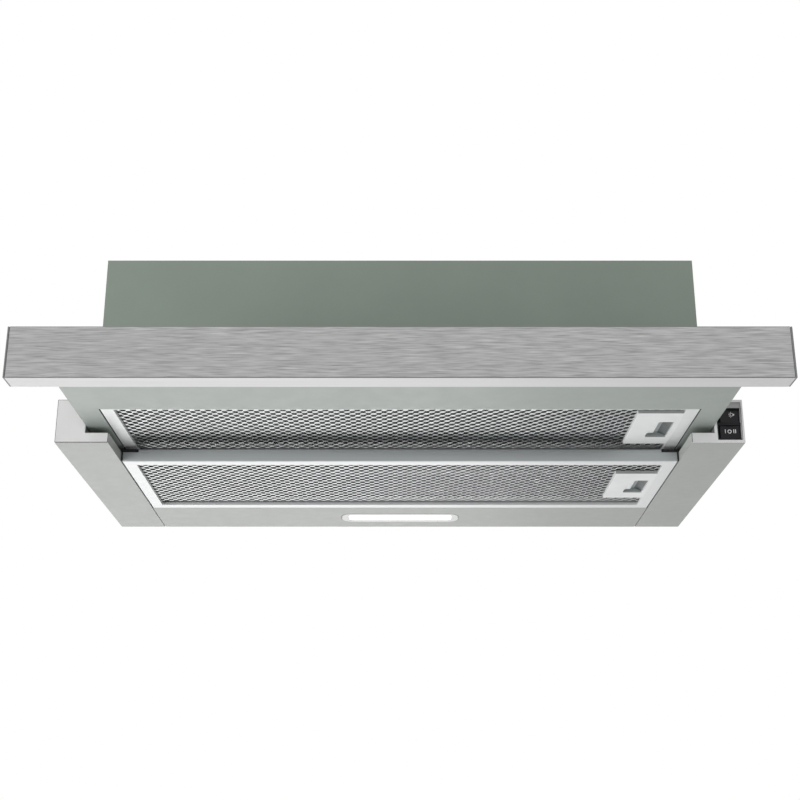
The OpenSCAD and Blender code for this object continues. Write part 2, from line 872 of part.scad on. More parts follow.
module cable_gland() {
    color("#2b2d2f") seat() translate([gland_x, gland_y, 0]) difference() {
        union() {
            translate([0, 0, roof_z - gland_nut_t]) cylinder(h = gland_nut_t, r = gland_nut_r, $fn = 6);
            translate([0, 0, roof_z - cut]) cylinder(h = sheet_t + 2 * cut, r = gland_shank_r);
            translate([0, 0, hood_h]) cylinder(h = gland_h / 4, r = gland_nut_r);
            translate([0, 0, hood_h]) cylinder(h = gland_h, r = gland_r);
        }
        translate([0, 0, roof_z - gland_nut_t - cut])
            cylinder(h = gland_nut_t + sheet_t + gland_h + 2 * cut, r = gland_bore_r);
    }
}

module duct_collar() {
    stop_top = pin_z - flap_t / 2 - slip_gap;
    color("#3c3f41") seat() difference() {
        union() {
            translate([0, collar_y, hood_h]) cylinder(h = collar_h, r = collar_r);
            translate([0, collar_y, hood_h]) cylinder(h = collar_flange_t, r = collar_r + collar_flange);
        }
        translate([0, collar_y, 0]) {
            translate([0, 0, hood_h - cut]) cylinder(h = stop_top - stop_t - hood_h + cut, r = collar_in_r);
            translate([0, 0, hood_h]) cylinder(h = collar_h + cut, r = collar_in_r - stop_w);
            translate([0, 0, stop_top]) cylinder(h = collar_h, r = collar_in_r);
            translate([0, -collar_r - cut, pin_z]) rotate([-90, 0, 0])
                cylinder(h = 2 * collar_r + 2 * cut, r = pin_r + screw_gap);
        }
        collar_screw_places() translate([0, 0, hood_h - cut])
            cylinder(h = collar_flange_t + 2 * cut, r = screw_r + screw_gap);
    }
}

module damper_pin() {
    color("#c9ccce") seat() translate([0, collar_y - collar_r + slip_gap, pin_z]) rotate([-90, 0, 0])
        cylinder(h = 2 * collar_r - 2 * slip_gap, r = pin_r);
}

// A half-round flap right of the pin, with a knuckle at each of the given places
module damper_flap(side, places) {
    color("#4a4d50") seat() translate([0, collar_y, pin_z]) difference() {
        on_side(side) union() {
            translate([0, 0, -flap_t / 2]) linear_extrude(flap_t) intersection() {
                circle(flap_r);
                translate([flap_inner, -flap_r]) square([flap_r, 2 * flap_r]);
            }
            for (k = places) {
                slab(
                    [0, flap_inner + cut],
                    [k * knuckle_pitch - knuckle_d / 2, k * knuckle_pitch + knuckle_d / 2],
                    [-flap_t / 2, flap_t / 2]
                );
                translate([0, k * knuckle_pitch - knuckle_d / 2, 0]) rotate([-90, 0, 0])
                    cylinder(h = knuckle_d, r = knuckle_r);
            }
        }
        translate([0, -collar_r, 0]) rotate([-90, 0, 0]) cylinder(h = 2 * collar_r, r = pin_r + run_gap);
    }
}

module damper_flap_left() {
    damper_flap(-1, [-1, 1]);
}

module damper_flap_right() {
    damper_flap(1, [-2, 0, 2]);
}

// The housing of one switch, open to the front, with its two pin bores
module switch_body(z) {
    low = -switch_h / 2;
    color("#1f2022") seat() translate([switch_x, switch_in, z]) difference() {
        slab([-switch_w / 2, switch_w / 2], [0, switch_d], [low, -low]);
        slab(
            [-switch_w / 2 + switch_wall, switch_w / 2 - switch_wall],
            [-cut, rocker_pivot + rocker_back + 2 * switch_wall], [low + switch_wall, -low - switch_wall]
        );
        translate([0, rocker_pivot, low - cut]) cylinder(h = switch_h + 2 * cut, r = rocker_pin_r + run_gap);
    }
}

// One rocker on its vertical pin, turned by its resting tilt
module rocker(z, tilt) {
    reach = rocker_r + cut;
    high = switch_h / 2 - switch_wall - fit_gap;
    color("#2a2b2e") seat() translate([switch_x, switch_in + rocker_pivot, z]) rotate([0, 0, tilt]) {
        translate([0, 0, -high]) linear_extrude(2 * high) intersection() {
            circle(rocker_r);
            polygon([
                [-reach, -rocker_end], [0, -rocker_mid], [reach, -rocker_end],
                [reach, rocker_back], [-reach, rocker_back]
            ]);
        }
        translate([0, 0, -high - rocker_pin_out])
            cylinder(h = 2 * high + 2 * rocker_pin_out, r = rocker_pin_r);
    }
}

module lamp_switch_body() {
    switch_body(switch_z + switch_pitch);
}

module speed_switch_body() {
    switch_body(switch_z);
}

module lamp_rocker() {
    rocker(switch_z + switch_pitch, rocker_tilt);
}

module speed_rocker() {
    rocker(switch_z, 0);
}

module drawer_microswitch() {
    y = body_d - sheet_t - micro_d;
    color("#303234") seat()
        slab([micro_x, micro_x + micro_w], [y, y + micro_d], [micro_z, micro_z + micro_h]);
}

module microswitch_lever() {
    y = body_d - sheet_t - micro_d;
    top = micro_z + micro_h;
    color("#c7cacc") seat() along_x([micro_x + micro_w / 5, micro_x + micro_w * 4 / 5]) polygon([
        [y, micro_z], [y, micro_z + lever_root],
        [y - lever_out + lever_t, top], [y - lever_out, top], [y - lever_t, micro_z]
    ]);
}

module slide_outer(side) {
    y = [slide_front, body_d - slide_in];
    color("#aeb3b5") seat() on_side(side) {
        slab([casing_x - slide_t, casing_x], y, [slide_z - slide_h / 2, slide_z + slide_h / 2]);
        for (z = [slide_z - slide_h / 2, slide_z + slide_h / 2 - slide_t])
            slab([casing_x - member_w, casing_x - slide_t], y, [z, z + slide_t]);
    }
}

module slide_inner(side) {
    y = [drawer_in + slide_front - body_d + slide_in, drawer_in];
    color("#c2c6c8") seat() on_side(side) {
        slab([carrier_x, carrier_x + slide_t], y, [slide_z - inner_h / 2, slide_z + inner_h / 2]);
        for (z = [slide_z - inner_h / 2, slide_z + inner_h / 2 - slide_t])
            slab([carrier_x + slide_t, carrier_x + member_w], y, [z, z + slide_t]);
    }
}

module slide_outer_left() {
    slide_outer(-1);
}

module slide_outer_right() {
    slide_outer(1);
}

module slide_inner_left() {
    slide_inner(-1);
}

module slide_inner_right() {
    slide_inner(1);
}

module ball_places() {
    for (z = [-race_z, race_z], k = [0 : balls - 1])
        translate([ball_x, cage_y + cage_d * (k + 0.5) / balls, slide_z + z]) children();
}

module ball_cages() {
    web = carrier_x + member_w + slip_gap;
    seat() both_sides() {
        color("#9da2a4") difference() {
            union() {
                for (z = [-race_z, race_z])
                    slab(
                        [ball_x - cage_w / 2, web + cage_t], [cage_y, cage_y + cage_d],
                        [slide_z + z - cage_t / 2, slide_z + z + cage_t / 2]
                    );
                slab([web, web + cage_t], [cage_y, cage_y + cage_d], [slide_z - race_z, slide_z + race_z]);
            }
            ball_places() translate([0, 0, -cut]) cylinder(h = 2 * cut, r = ball_r + fit_gap);
        }
        color("#e0e3e5") ball_places() sphere(ball_r);
    }
}

module drawer_stops() {
    y = drawer_in - lug_t - slip_gap;
    color("#2d2f31") seat() both_sides()
        slab([side_x + stop_in, column_x - stop_out], [y - stop_d, y], [ledge_h, drawer_z - slip_gap * 2]);
}

// Folded drawer frame: bottom sheet, rims, carriers, front flange and rear bar
module drawer_tray() {
    low = [drawer_z, drawer_z + sheet_t];
    high = [drawer_top - sheet_t, drawer_top];
    bar_x = carrier_x - sheet_t;
    filter_end = front_filter_y + front_filter_d + cut;
    color("#b2b8b4") seat() difference() {
        union() {
            difference() {
                slab([-drawer_x, drawer_x], [front_y, drawer_in], low);
                for (y = [[lip_y, filter_end], [filter_end + cross_d, drawer_in - bar_d]])
                    slab([-rim_x, rim_x], y, [low[0] - cut, low[1] + cut]);
            }
            slab([-rim_x, rim_x], [lip_y - sheet_t, lip_y], [low[1], rim_top]);
            slab([-rim_x, rim_x], [filter_end, filter_end + sheet_t], [low[1], rim_top]);
            both_sides() {
                slab([rim_x, rim_x + sheet_t], [lip_y - sheet_t, filter_end + sheet_t], [low[1], rim_top]);
                slab([carrier_x - sheet_t, carrier_x], [front_y, drawer_in], [low[1], drawer_top]);
                slab([rim_x + sheet_t, carrier_x - sheet_t], [front_y, drawer_in], high);
                slab(
                    [side_x + stop_in, column_x - stop_out], [drawer_in - lug_t, drawer_in],
                    [low[0] - lug_h, low[0]]
                );
            }
            slab([-bar_x, bar_x], [front_y, front_y + sheet_t], [low[1], drawer_top]);
            slab([-bar_x, bar_x], [drawer_in - sheet_t, drawer_in], [low[1], low[1] + bar_h]);
        }
        tab_windows(front_filter_y, front_filter_d, drawer_z, rim_x, sheet_t);
        panel_screw_places() translate([0, 0, -cut]) cylinder(h = sheet_t + 2 * cut, r = screw_r + screw_gap);
    }
}

module drawer_cover() {
    color("#c3c8c5") seat()
        slab([-carrier_x, carrier_x], [front_y, cover_in], [drawer_top, drawer_top + cover_t]);
}

// Screw axes through the drawer's front flange, with Z pointing back into the drawer
module panel_screw_places() {
    for (share = panel_screw_shares)
        translate([hood_w * share, front_y, drawer_z + drawer_h / 2]) rotate([-90, 0, 0]) children();
}

module front_panel_body() {
    back = front_y;
    face = front_y - panel_t + panel_skin_t;
    end_x = half_w - end_cap_t;
    color("#dedede") seat() difference() {
        slab([-end_x, end_x], [face, back], [0, panel_h]);
        slab(
            [-end_x - cut, end_x + cut], [face + panel_wall, back - panel_wall],
            [panel_wall, panel_h - panel_wall]
        );
        panel_screw_places() translate([0, 0, -panel_wall - cut])
            cylinder(h = panel_wall + 2 * cut, r = screw_r + screw_gap);
    }
}

module front_panel_skin() {
    end_x = half_w - end_cap_t;
    color("#a8a8a8") seat() slab(
        [-end_x + panel_seam, end_x - panel_seam], [front_y - panel_t, front_y - panel_t + panel_skin_t],
        [panel_seam, panel_h - panel_seam]
    );
}

module panel_end_cap(side) {
    end_x = half_w - end_cap_t;
    inner = panel_wall + fit_gap;
    color("#d6d6d6") seat() on_side(side) {
        slab([end_x, half_w], [front_y - panel_t, front_y], [0, panel_h]);
        slab(
            [end_x - cap_plug_d, end_x], [front_y - panel_t + panel_skin_t + inner, front_y - inner],
            [inner, panel_h - inner]
        );
    }
}

module panel_end_cap_left() {
    panel_end_cap(-1);
}

module panel_end_cap_right() {
    panel_end_cap(1);
}

module panel_screws() {
    color("#c4c7c9") seat() panel_screw_places() {
        translate([0, 0, sheet_t]) cylinder(h = head_t, r = head_r);
        translate([0, 0, -panel_screw_in]) cylinder(h = panel_screw_in + sheet_t + head_t / 2, r = screw_r);
    }
}

module casing_screws() {
    color("#c4c7c9") seat() {
        box_screw_places() {
            translate([0, 0, 2 * sheet_t]) cylinder(h = head_t, r = head_r);
            cylinder(h = 2 * sheet_t + head_t / 2, r = screw_r);
        }
        collar_screw_places() {
            translate([0, 0, hood_h + collar_flange_t]) cylinder(h = head_t, r = head_r);
            translate([0, 0, roof_z]) cylinder(h = sheet_t + collar_flange_t + head_t / 2, r = screw_r);
        }
    }
    color("#c4c7c9") on_fan_axis(motor_x - bracket_t) mount_places() {
        translate([0, 0, -head_t]) cylinder(h = head_t, r = head_r);
        cylinder(h = bracket_t + mount_d, r = screw_r);
    }
}

// A filter's frame: y is its front edge, d its depth, z its face and mid the middle of its handle plate
module filter_frame(y, d, z, front_band, mid) {
    x = filter_x;
    color("#e9ebeb") seat() {
        difference() {
            slab([-x, x], [y, y + d], [z, z + filter_h]);
            slab(
                [-x + frame_band, x - frame_band], [y + front_band, y + d - frame_band],
                [z - cut, z + filter_h + cut]
            );
            slab(
                [-x + frame_wall, x - frame_wall], [y + frame_wall, y + d - frame_wall],
                [z + mesh_in, z + filter_h - back_t]
            );
            tongue_slot(mid, z, x - frame_wall - cut, x + cut);
        }
        for (k = [-1, 1]) {
            middle = y + d / 2 + k * d * filter_tab_share;
            slab(
                [-x - filter_tab, -x], [middle - filter_tab_w / 2, middle + filter_tab_w / 2],
                [z + tab_z, z + tab_z + sheet_t]
            );
        }
    }
}

// Front edge of the thumb pad and of the finger recess
function pad_y(mid) = mid - recess_d * recess_back_share;

// Slot for the latch tongue between x0 and x1
module tongue_slot(mid, z, x0, x1) {
    middle = pad_y(mid) + pad_d / 2;
    slab(
        [x0, x1], [middle - tongue_d / 2 - slip_gap, middle + tongue_d / 2 + slip_gap],
        [z + tongue_z - slip_gap, z + tongue_z + tongue_t + slip_gap]
    );
}

// The mesh pack: staggered diamond gaps, kept whole under the frame and around the latch
module filter_mesh(y, d, z, front_band, mid) {
    x = filter_x;
    edge = frame_wall + slip_gap;
    front = max(front_band, edge + mesh_strand);
    rows = floor(d / mesh_pitch_y) + 2;
    columns = floor(2 * x / mesh_pitch_x) + 2;
    gap = [mesh_pitch_x / 2 - mesh_strand * strand_share, mesh_pitch_y / 2 - mesh_strand * strand_share];
    latch_x = housing_x - housing_w;
    pack_h = filter_h - mesh_in - back_t;
    color("#b9bcbc") seat() translate([0, 0, z + mesh_in]) linear_extrude(pack_h) difference() {
        translate([-x + edge, y + edge]) square([2 * x - 2 * edge, d - 2 * edge]);
        intersection() {
            difference() {
                translate([-x + frame_band, y + front])
                    square([2 * x - 2 * frame_band, d - frame_band - front]);
                translate([latch_x - mesh_strand, mid - housing_d / 2 - mesh_strand])
                    square([x, housing_d + 2 * mesh_strand]);
            }
            union() for (i = [-rows : rows], j = [-columns : columns])
                if ((i + j) % 2 == 0)
                    translate([j * mesh_pitch_x / 2, y + d / 2 + i * mesh_pitch_y / 2])
                        polygon([[gap[0], 0], [0, gap[1]], [-gap[0], 0], [0, -gap[1]]]);
        }
        translate([latch_x - fit_gap, mid - housing_d / 2 - fit_gap]) square([x, housing_d + 2 * fit_gap]);
    }
}

// The opening of the finger recess: the thumb pad's edge shows along the short side of the L
module recess_outline(mid) {
    wide = recess_w - pad_w + pad_edge;
    foot = recess_d - pad_d;
    middle = pad_y(mid) + recess_d / 2;
    translate([recess_x - wide / 2, middle]) rounded(wide, recess_d, recess_r);
    translate([recess_x - recess_w / 2, middle + (recess_d - foot) / 2]) rounded(recess_w, foot, recess_r);
}

// The plate that carries the finger recess, flush with the frame's face
module handle_plate(mid, z) {
    color("#d4d6d7") seat() difference() {
        slab([plate_x - plate_w, plate_x], [mid - plate_d / 2, mid + plate_d / 2], [z, z + mesh_in]);
        slab(
            [plate_x - plate_w + plate_t, plate_x + cut],
            [mid - plate_d / 2 + plate_t, mid + plate_d / 2 - plate_t], [z + plate_t, z + mesh_in + cut]
        );
        translate([0, 0, z - cut]) linear_extrude(plate_t + 2 * cut) recess_outline(mid);
    }
}

// The box behind the handle plate with its dished floor
module latch_housing(mid, z) {
    pad = pad_y(mid);
    left = housing_x - housing_w;
    dish_x = [recess_x - recess_w + pad_w + fit_gap, housing_x - housing_t];
    color("#8b9091") seat() difference() {
        union() {
            difference() {
                slab(
                    [left, housing_x], [mid - housing_d / 2, mid + housing_d / 2],
                    [z + plate_t, z + housing_top]
                );
                slab(
                    [left + housing_t, housing_x - housing_t],
                    [mid - housing_d / 2 + housing_t, mid + housing_d / 2 - housing_t],
                    [z + plate_t - cut, z + housing_top - housing_t]
                );
            }
            slab(dish_x, [pad - housing_t, pad + recess_d + housing_t], [z + plate_t, z + dish_floor]);
            slab(
                [recess_x - recess_w - housing_t, dish_x[0]],
                [pad + pad_d + fit_gap, pad + recess_d + housing_t], [z + plate_t, z + dish_floor]
            );
        }
        intersection() {
            slab(
                [recess_x - recess_w, recess_x], [pad, pad + recess_d],
                [z + plate_t - cut, z + plate_t + dish_depth]
            );
            translate([recess_x - recess_w / 2, pad, z + plate_t + dish_depth - scoop_r]) rotate([-90, 0, 0])
                cylinder(h = recess_d, r = scoop_r);
        }
        tongue_slot(mid, z, housing_x - housing_t - cut, housing_x + cut);
    }
}

// The slider: thumb pad, stem, spring lug and tongue
module latch(mid, z) {
    pad = pad_y(mid);
    tongue = pad + pad_d / 2;
    right = recess_x - recess_w + pad_w;
    left = right - pad_w - pad_hidden;
    pad_z = z + plate_t + fit_gap;
    top = z + tongue_z + tongue_t;
    color("#e4e6e6") seat() {
        slab([left, right], [pad + fit_gap, pad + pad_d - fit_gap], [pad_z, pad_z + pad_t]);
        slab([left, left + stem_w], [pad + fit_gap, pad + pad_d - fit_gap], [pad_z + pad_t, top]);
        slab(
            [left + stem_w, filter_x + tongue_out],
            [tongue - tongue_d / 2, tongue + tongue_d / 2], [z + tongue_z, top]
        );
        slab([left + stem_w - lug_t, left + stem_w], [pad - lug_y, pad + fit_gap], [pad_z, top]);
    }
}

// Least gap of a coiled wire to itself, from points that lie half a curl or more apart
function self_gap(p, r, half) =
    min([for (i = [0 : len(p) - 1 - half], j = [i + half : len(p) - 1]) norm(p[j] - p[i])]) - 2 * r;

// The spring stands between the housing's wall and the slider's lug, with a straight end at each
module latch_spring(mid, z) {
    wall = housing_x - housing_w + housing_t;
    lug = recess_x - recess_w - pad_hidden + stem_w - lug_t;
    from = wall + 2 * spring_wire_r;
    pitch = (lug - wall - 4 * spring_wire_r) / spring_curls;
    coil_r = spring_r - spring_wire_r;
    steps = 8;
    coil = [for (k = [0 : spring_curls * steps])
        [from + pitch * k / steps, coil_r * cos(360 * k / steps), coil_r * sin(360 * k / steps)]
    ];
    echo(least_spring_gap = self_gap(coil, spring_wire_r, steps / 2));
    color("#c9cdcf") seat() translate([0, pad_y(mid) - lug_y / 2, z + tongue_z - spring_r / 2])
        tube(concat([[wall, coil_r, 0]], coil, [[lug, coil_r, 0]]), spring_wire_r, 6);
}

// The sprung clip that the tongue rests on, with its back on the wall at x
module filter_keeper(mid, z, x) {
    tongue = pad_y(mid) + pad_d / 2;
    top = z + tongue_z - fit_gap;
    color("#c9cdcf") seat() {
        slab([x - keeper_t, x], [tongue - keeper_d / 2, tongue + keeper_d / 2], [z + 2 * keeper_h, top]);
        slab(
            [filter_x + slip_gap, x - keeper_t], [tongue - keeper_d / 2, tongue + keeper_d / 2],
            [top - keeper_h, top]
        );
    }
}

module rear_filter_frame() {
    filter_frame(filter_y, rear_filter_d, 0, frame_band, rear_mid);
}

module rear_filter_mesh() {
    filter_mesh(filter_y, rear_filter_d, 0, frame_band, rear_mid);
}

module rear_handle_plate() {
    handle_plate(rear_mid, 0);
}

module rear_latch_housing() {
    latch_housing(rear_mid, 0);
}

module rear_latch() {
    latch(rear_mid, 0);
}

module rear_latch_spring() {
    latch_spring(rear_mid, 0);
}

module rear_filter_keeper() {
    filter_keeper(rear_mid, 0, side_x);
}

module front_filter_frame() {
    filter_frame(front_filter_y, front_filter_d, drawer_z, frame_wall, front_mid);
}

module front_filter_mesh() {
    filter_mesh(front_filter_y, front_filter_d, drawer_z, frame_wall, front_mid);
}

module front_handle_plate() {
    handle_plate(front_mid, drawer_z);
}

module front_latch_housing() {
    latch_housing(front_mid, drawer_z);
}

module front_latch() {
    latch(front_mid, drawer_z);
}

module front_latch_spring() {
    latch_spring(front_mid, drawer_z);
}

module front_filter_keeper() {
    filter_keeper(front_mid, drawer_z, rim_x);
}

module wiring_harness() {
    color("#dddddd") seat() {
        tube(switch_lead, wire_r, 8);
        tube(lamp_lead, wire_r, 8);
        tube(motor_lead, wire_r, 8);
    }
}

motor_box();
top_plate();
rear_panel();
deck_plate();
side_casing_left();
side_casing_right();
rear_strip();
front_cap_left();
front_cap_right();
lamp_bezel();
lamp_lens();
lamp_board();
volute_left();
volute_right();
motor();
motor_bracket();
motor_mounts();
terminal_box();
cable_gland();
duct_collar();
damper_pin();
lamp_switch_body();
speed_switch_body();
drawer_microswitch();
microswitch_lever();
slide_outer_left();
slide_outer_right();
drawer_stops();
rear_filter_keeper();
wiring_harness();
casing_screws();
drawer_tray();
drawer_cover();
front_panel_body();
front_panel_skin();
panel_end_cap_left();
panel_end_cap_right();
slide_inner_left();
slide_inner_right();
panel_screws();
front_filter_keeper();
ball_cages();
rear_filter_frame();
rear_filter_mesh();
rear_handle_plate();
rear_latch_housing();
rear_latch();
rear_latch_spring();
front_filter_frame();
front_filter_mesh();
front_handle_plate();
front_latch_housing();
front_latch();
front_latch_spring();
impeller();
motor_shaft();
lamp_rocker();
speed_rocker();
damper_flap_left();
damper_flap_right();
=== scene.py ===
"""Looks of a pull-out range hood: its pieces, filter nets, switches, lamp and finishes."""

from __future__ import annotations

import json
import logging
import math
from collections.abc import Callable, Iterator
from contextlib import contextmanager
from dataclasses import dataclass, field
from enum import Enum
from functools import partial

import bpy
from mathutils import Matrix, Vector

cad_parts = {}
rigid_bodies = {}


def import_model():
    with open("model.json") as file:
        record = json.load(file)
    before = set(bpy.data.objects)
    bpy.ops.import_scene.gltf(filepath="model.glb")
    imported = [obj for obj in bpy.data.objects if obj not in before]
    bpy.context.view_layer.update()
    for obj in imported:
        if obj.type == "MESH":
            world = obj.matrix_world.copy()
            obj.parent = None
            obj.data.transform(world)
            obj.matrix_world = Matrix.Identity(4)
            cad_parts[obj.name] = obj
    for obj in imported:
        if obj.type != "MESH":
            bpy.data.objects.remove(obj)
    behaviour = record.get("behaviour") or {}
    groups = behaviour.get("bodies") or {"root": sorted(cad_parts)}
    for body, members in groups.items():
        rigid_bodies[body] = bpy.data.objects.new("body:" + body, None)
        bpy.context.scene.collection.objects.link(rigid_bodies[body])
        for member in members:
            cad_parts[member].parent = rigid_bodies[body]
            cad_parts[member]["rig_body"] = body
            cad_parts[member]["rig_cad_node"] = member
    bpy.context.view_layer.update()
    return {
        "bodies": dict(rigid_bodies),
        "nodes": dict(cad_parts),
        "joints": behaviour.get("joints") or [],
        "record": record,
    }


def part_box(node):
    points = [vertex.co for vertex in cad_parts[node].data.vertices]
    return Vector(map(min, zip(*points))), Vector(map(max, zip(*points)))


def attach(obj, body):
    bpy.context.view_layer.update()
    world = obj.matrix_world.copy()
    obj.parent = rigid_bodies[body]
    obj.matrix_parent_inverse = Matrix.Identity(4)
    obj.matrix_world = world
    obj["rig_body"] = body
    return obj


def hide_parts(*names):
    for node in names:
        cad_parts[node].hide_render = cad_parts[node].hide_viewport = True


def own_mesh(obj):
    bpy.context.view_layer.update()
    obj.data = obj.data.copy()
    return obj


Piece = bpy.types.Object
Face = bpy.types.MeshPolygon
Socket = bpy.types.NodeSocket
Triple = tuple[float, float, float]
FaceTest = Callable[[Face], bool]
PointTest = Callable[[Vector], bool]

LOG = logging.getLogger("hood")
MM = 0.001
MERGE = 1e-5
SQUARE = 0.9
FORWARD = -0.7
NOISE_RANGE = (0.3, 0.7)
SIDES = ("left", "right")
WHITE = (1.0, 1.0, 1.0, 1.0)


@contextmanager
def edit(piece: Piece) -> Iterator[None]:
    """Opens a piece alone in edit mode, all selected, and leaves the mode at the end.

    Args:
        piece: the mesh object to edit.
    """
    only(piece)
    bpy.ops.object.mode_set(mode="EDIT")
    bpy.ops.mesh.select_all(action="SELECT")
    try:
        yield
    finally:
        bpy.ops.object.mode_set(mode="OBJECT")


def only(piece: Piece) -> None:
    """Selects one object and makes it the active one.

    Args:
        piece: the object.
    """
    bpy.ops.object.select_all(action="DESELECT")
    piece.select_set(True)
    bpy.context.view_layer.objects.active = piece


def pick(piece: Piece, kind: str, test: Callable[[Face | bpy.types.MeshVertex], bool]) -> None:
    """Selects only the faces or the vertices that pass a test, from inside edit mode.

    Args:
        piece: the mesh object, open in edit mode.
        kind: FACE or VERT.
        test: says whether a face or a vertex is wanted.
    """
    bpy.ops.mesh.select_mode(type=kind)
    bpy.ops.mesh.select_all(action="DESELECT")
    bpy.ops.object.mode_set(mode="OBJECT")
    for part in piece.data.polygons if kind == "FACE" else piece.data.vertices:
        part.select = test(part)
    bpy.ops.object.mode_set(mode="EDIT")


def pick_faces(piece: Piece, test: FaceTest) -> None:
    """Selects only the faces that pass a test, from inside edit mode."""
    pick(piece, "FACE", test)


def pick_points(piece: Piece, test: PointTest) -> None:
    """Selects only the vertices whose place passes a test, from inside edit mode."""
    pick(piece, "VERT", lambda vertex: test(vertex.co))


def shift_points(piece: Piece, test: PointTest, offset: Triple) -> None:
    """Moves the vertices whose place passes a test, from inside edit mode."""
    pick_points(piece, test)
    bpy.ops.transform.translate(value=offset)


def extrude(piece: Piece, test: FaceTest, offset: Triple) -> None:
    """Extrudes the faces that pass a test, from inside edit mode."""
    pick_faces(piece, test)
    bpy.ops.mesh.extrude_region_move(TRANSFORM_OT_translate={"value": offset})


def bisect(point: Vector | Triple, normal: Triple, **settings: bool) -> None:
    """Cuts the whole open mesh along a plane."""
    bpy.ops.mesh.select_all(action="SELECT")
    bpy.ops.mesh.bisect(plane_co=point, plane_no=normal, **settings)


def modify(piece: Piece, kind: str, **settings: object) -> None:
    """Adds a modifier with its settings and applies it.

    Args:
        piece: the mesh object.
        kind: Blender's name of the modifier's type.
        settings: the modifier's values.
    """
    only(piece)
    modifier = piece.modifiers.new(kind.title(), kind)
    for key, value in settings.items():
        setattr(modifier, key, value)
    bpy.ops.object.modifier_apply(modifier=modifier.name)


def bevel(piece: Piece, width: float, segments: int = 2, angle: float = 30.0) -> None:
    """Rounds a piece's edges that turn by more than an angle in degrees."""
    limit = math.radians(angle)
    modify(piece, "BEVEL", width=width, segments=segments, limit_method="ANGLE", angle_limit=limit)


def mirror(piece: Piece) -> None:
    """Adds a piece's mirror image across the hood's middle."""
    modify(piece, "MIRROR", use_axis=(True, False, False))


def carve(piece: Piece, cutter: Piece) -> None:
    """Cuts a shape out of a piece, and removes the cutter."""
    modify(piece, "BOOLEAN", operation="DIFFERENCE", object=cutter, solver="EXACT")
    bpy.data.objects.remove(cutter)


def repeat(piece: Piece, count: int, offset: Triple, **settings: object) -> None:
    """Repeats a piece in a row.

    Args:
        piece: the piece.
        count: how many there are in the end.
        offset: the way from one to the next.
        settings: more values of the Array modifier.
    """
    modify(
        piece, "ARRAY", count=count, use_relative_offset=False, use_constant_offset=True,
        constant_offset_displace=offset, **settings,
    )


def place_in_mesh(piece: Piece) -> None:
    """Moves a piece's place, turn and scale into its mesh."""
    only(piece)
    bpy.ops.object.transform_apply(location=True, rotation=True, scale=True)


def block(middle: Vector | Triple, size: Triple) -> Piece:
    """Makes a block, the start of a bead, a seal, a mark or a cutter.

    Args:
        middle: the place of its middle.
        size: its size along each axis.

    Returns:
        The block, with its place in its mesh.
    """
    bpy.ops.mesh.primitive_cube_add(size=1, location=middle)
    piece = bpy.context.object
    piece.scale = size
    place_in_mesh(piece)
    return piece


def smooth(piece: Piece, angle: float = 32.0) -> None:
    """Shades a piece smooth except over edges sharper than an angle in degrees."""
    only(piece)
    bpy.ops.object.shade_smooth_by_angle(angle=math.radians(angle))


def even_shading(piece: Piece) -> None:
    """Shades a piece smooth over its rounds and flat over its large faces.

    Args:
        piece: the mesh object.
    """
    only(piece)
    if piece.data.has_custom_normals:
        bpy.ops.mesh.customdata_custom_splitnormals_clear()
    smooth(piece)
    modify(piece, "WEIGHTED_NORMAL", weight=50, keep_sharp=True)


def beyond(point: Vector, plane: Vector, axis: int, side: int) -> bool:
    """Says whether a point is past a corner along an axis, towards its side of -1 or 1."""
    return side * (point[axis] - plane[axis]) > MERGE / 10


def keep_inside(piece: Piece, low: Vector, high: Vector) -> None:
    """Lays the points that a bevel pushed out of a box back on the box.

    Args:
        piece: the bevelled piece.
        low: the box's lowest corner.
        high: the box's highest corner.
    """
    for axis in range(3):
        for plane, side in ((low, -1), (high, 1)):
            outside = partial(beyond, plane=plane, axis=axis, side=side)
            if any(outside(vertex.co) for vertex in piece.data.vertices):
                flat = [float(k != axis) for k in range(3)]
                with edit(piece):
                    pick_points(piece, outside)
                    bpy.ops.transform.resize(value=flat, center_override=plane)


def join(pieces: list[Piece]) -> Piece:
    """Joins pieces into the first of them.

    Args:
        pieces: the mesh objects.

    Returns:
        The first piece, which now holds them all.
    """
    bpy.ops.object.select_all(action="DESELECT")
    for piece in pieces:
        piece.select_set(True)
    bpy.context.view_layer.objects.active = pieces[0]
    bpy.ops.object.join()
    return pieces[0]


def copy_of(piece: Piece, offset: Vector | Triple = (0, 0, 0)) -> Piece:
    """Copies a piece with its own mesh and moves the copy.

    Args:
        piece: the object to copy.
        offset: how far the copy moves.

    Returns:
        The copy.
    """
    only(piece)
    bpy.ops.object.duplicate()
    twin = bpy.context.object
    twin.location = offset
    place_in_mesh(twin)
    return twin


class Graph:
    """A node tree that gets its nodes one by one, each with its values and links."""

    def __init__(self, tree: bpy.types.NodeTree) -> None:
        """Starts on a tree."""
        self.tree = tree

    def node(self, kind: str, inputs: dict | None = None, **settings: object) -> bpy.types.Node:
        """Adds a node.

        Args:
            kind: the node's type, without Blender's prefix.
            inputs: what goes into its sockets, by name or number: values or other sockets.
            settings: the node's own settings.

        Returns:
            The node.
        """
        node = self.tree.nodes.new(f"ShaderNode{kind}")
        for key, value in settings.items():
            setattr(node, key, value)
        for key, value in (inputs or {}).items():
            if isinstance(value, Socket):
                self.link(value, node.inputs[key])
            else:
                node.inputs[key].default_value = value
        return node

    def link(self, source: Socket, target: Socket) -> None:
        """Links two sockets."""
        self.tree.links.new(source, target)

    def combine(self, operation: str, *values: Socket | float) -> Socket:
        """Adds a Math node and returns its result."""
        return self.node("Math", dict(enumerate(values)), operation=operation).outputs[0]


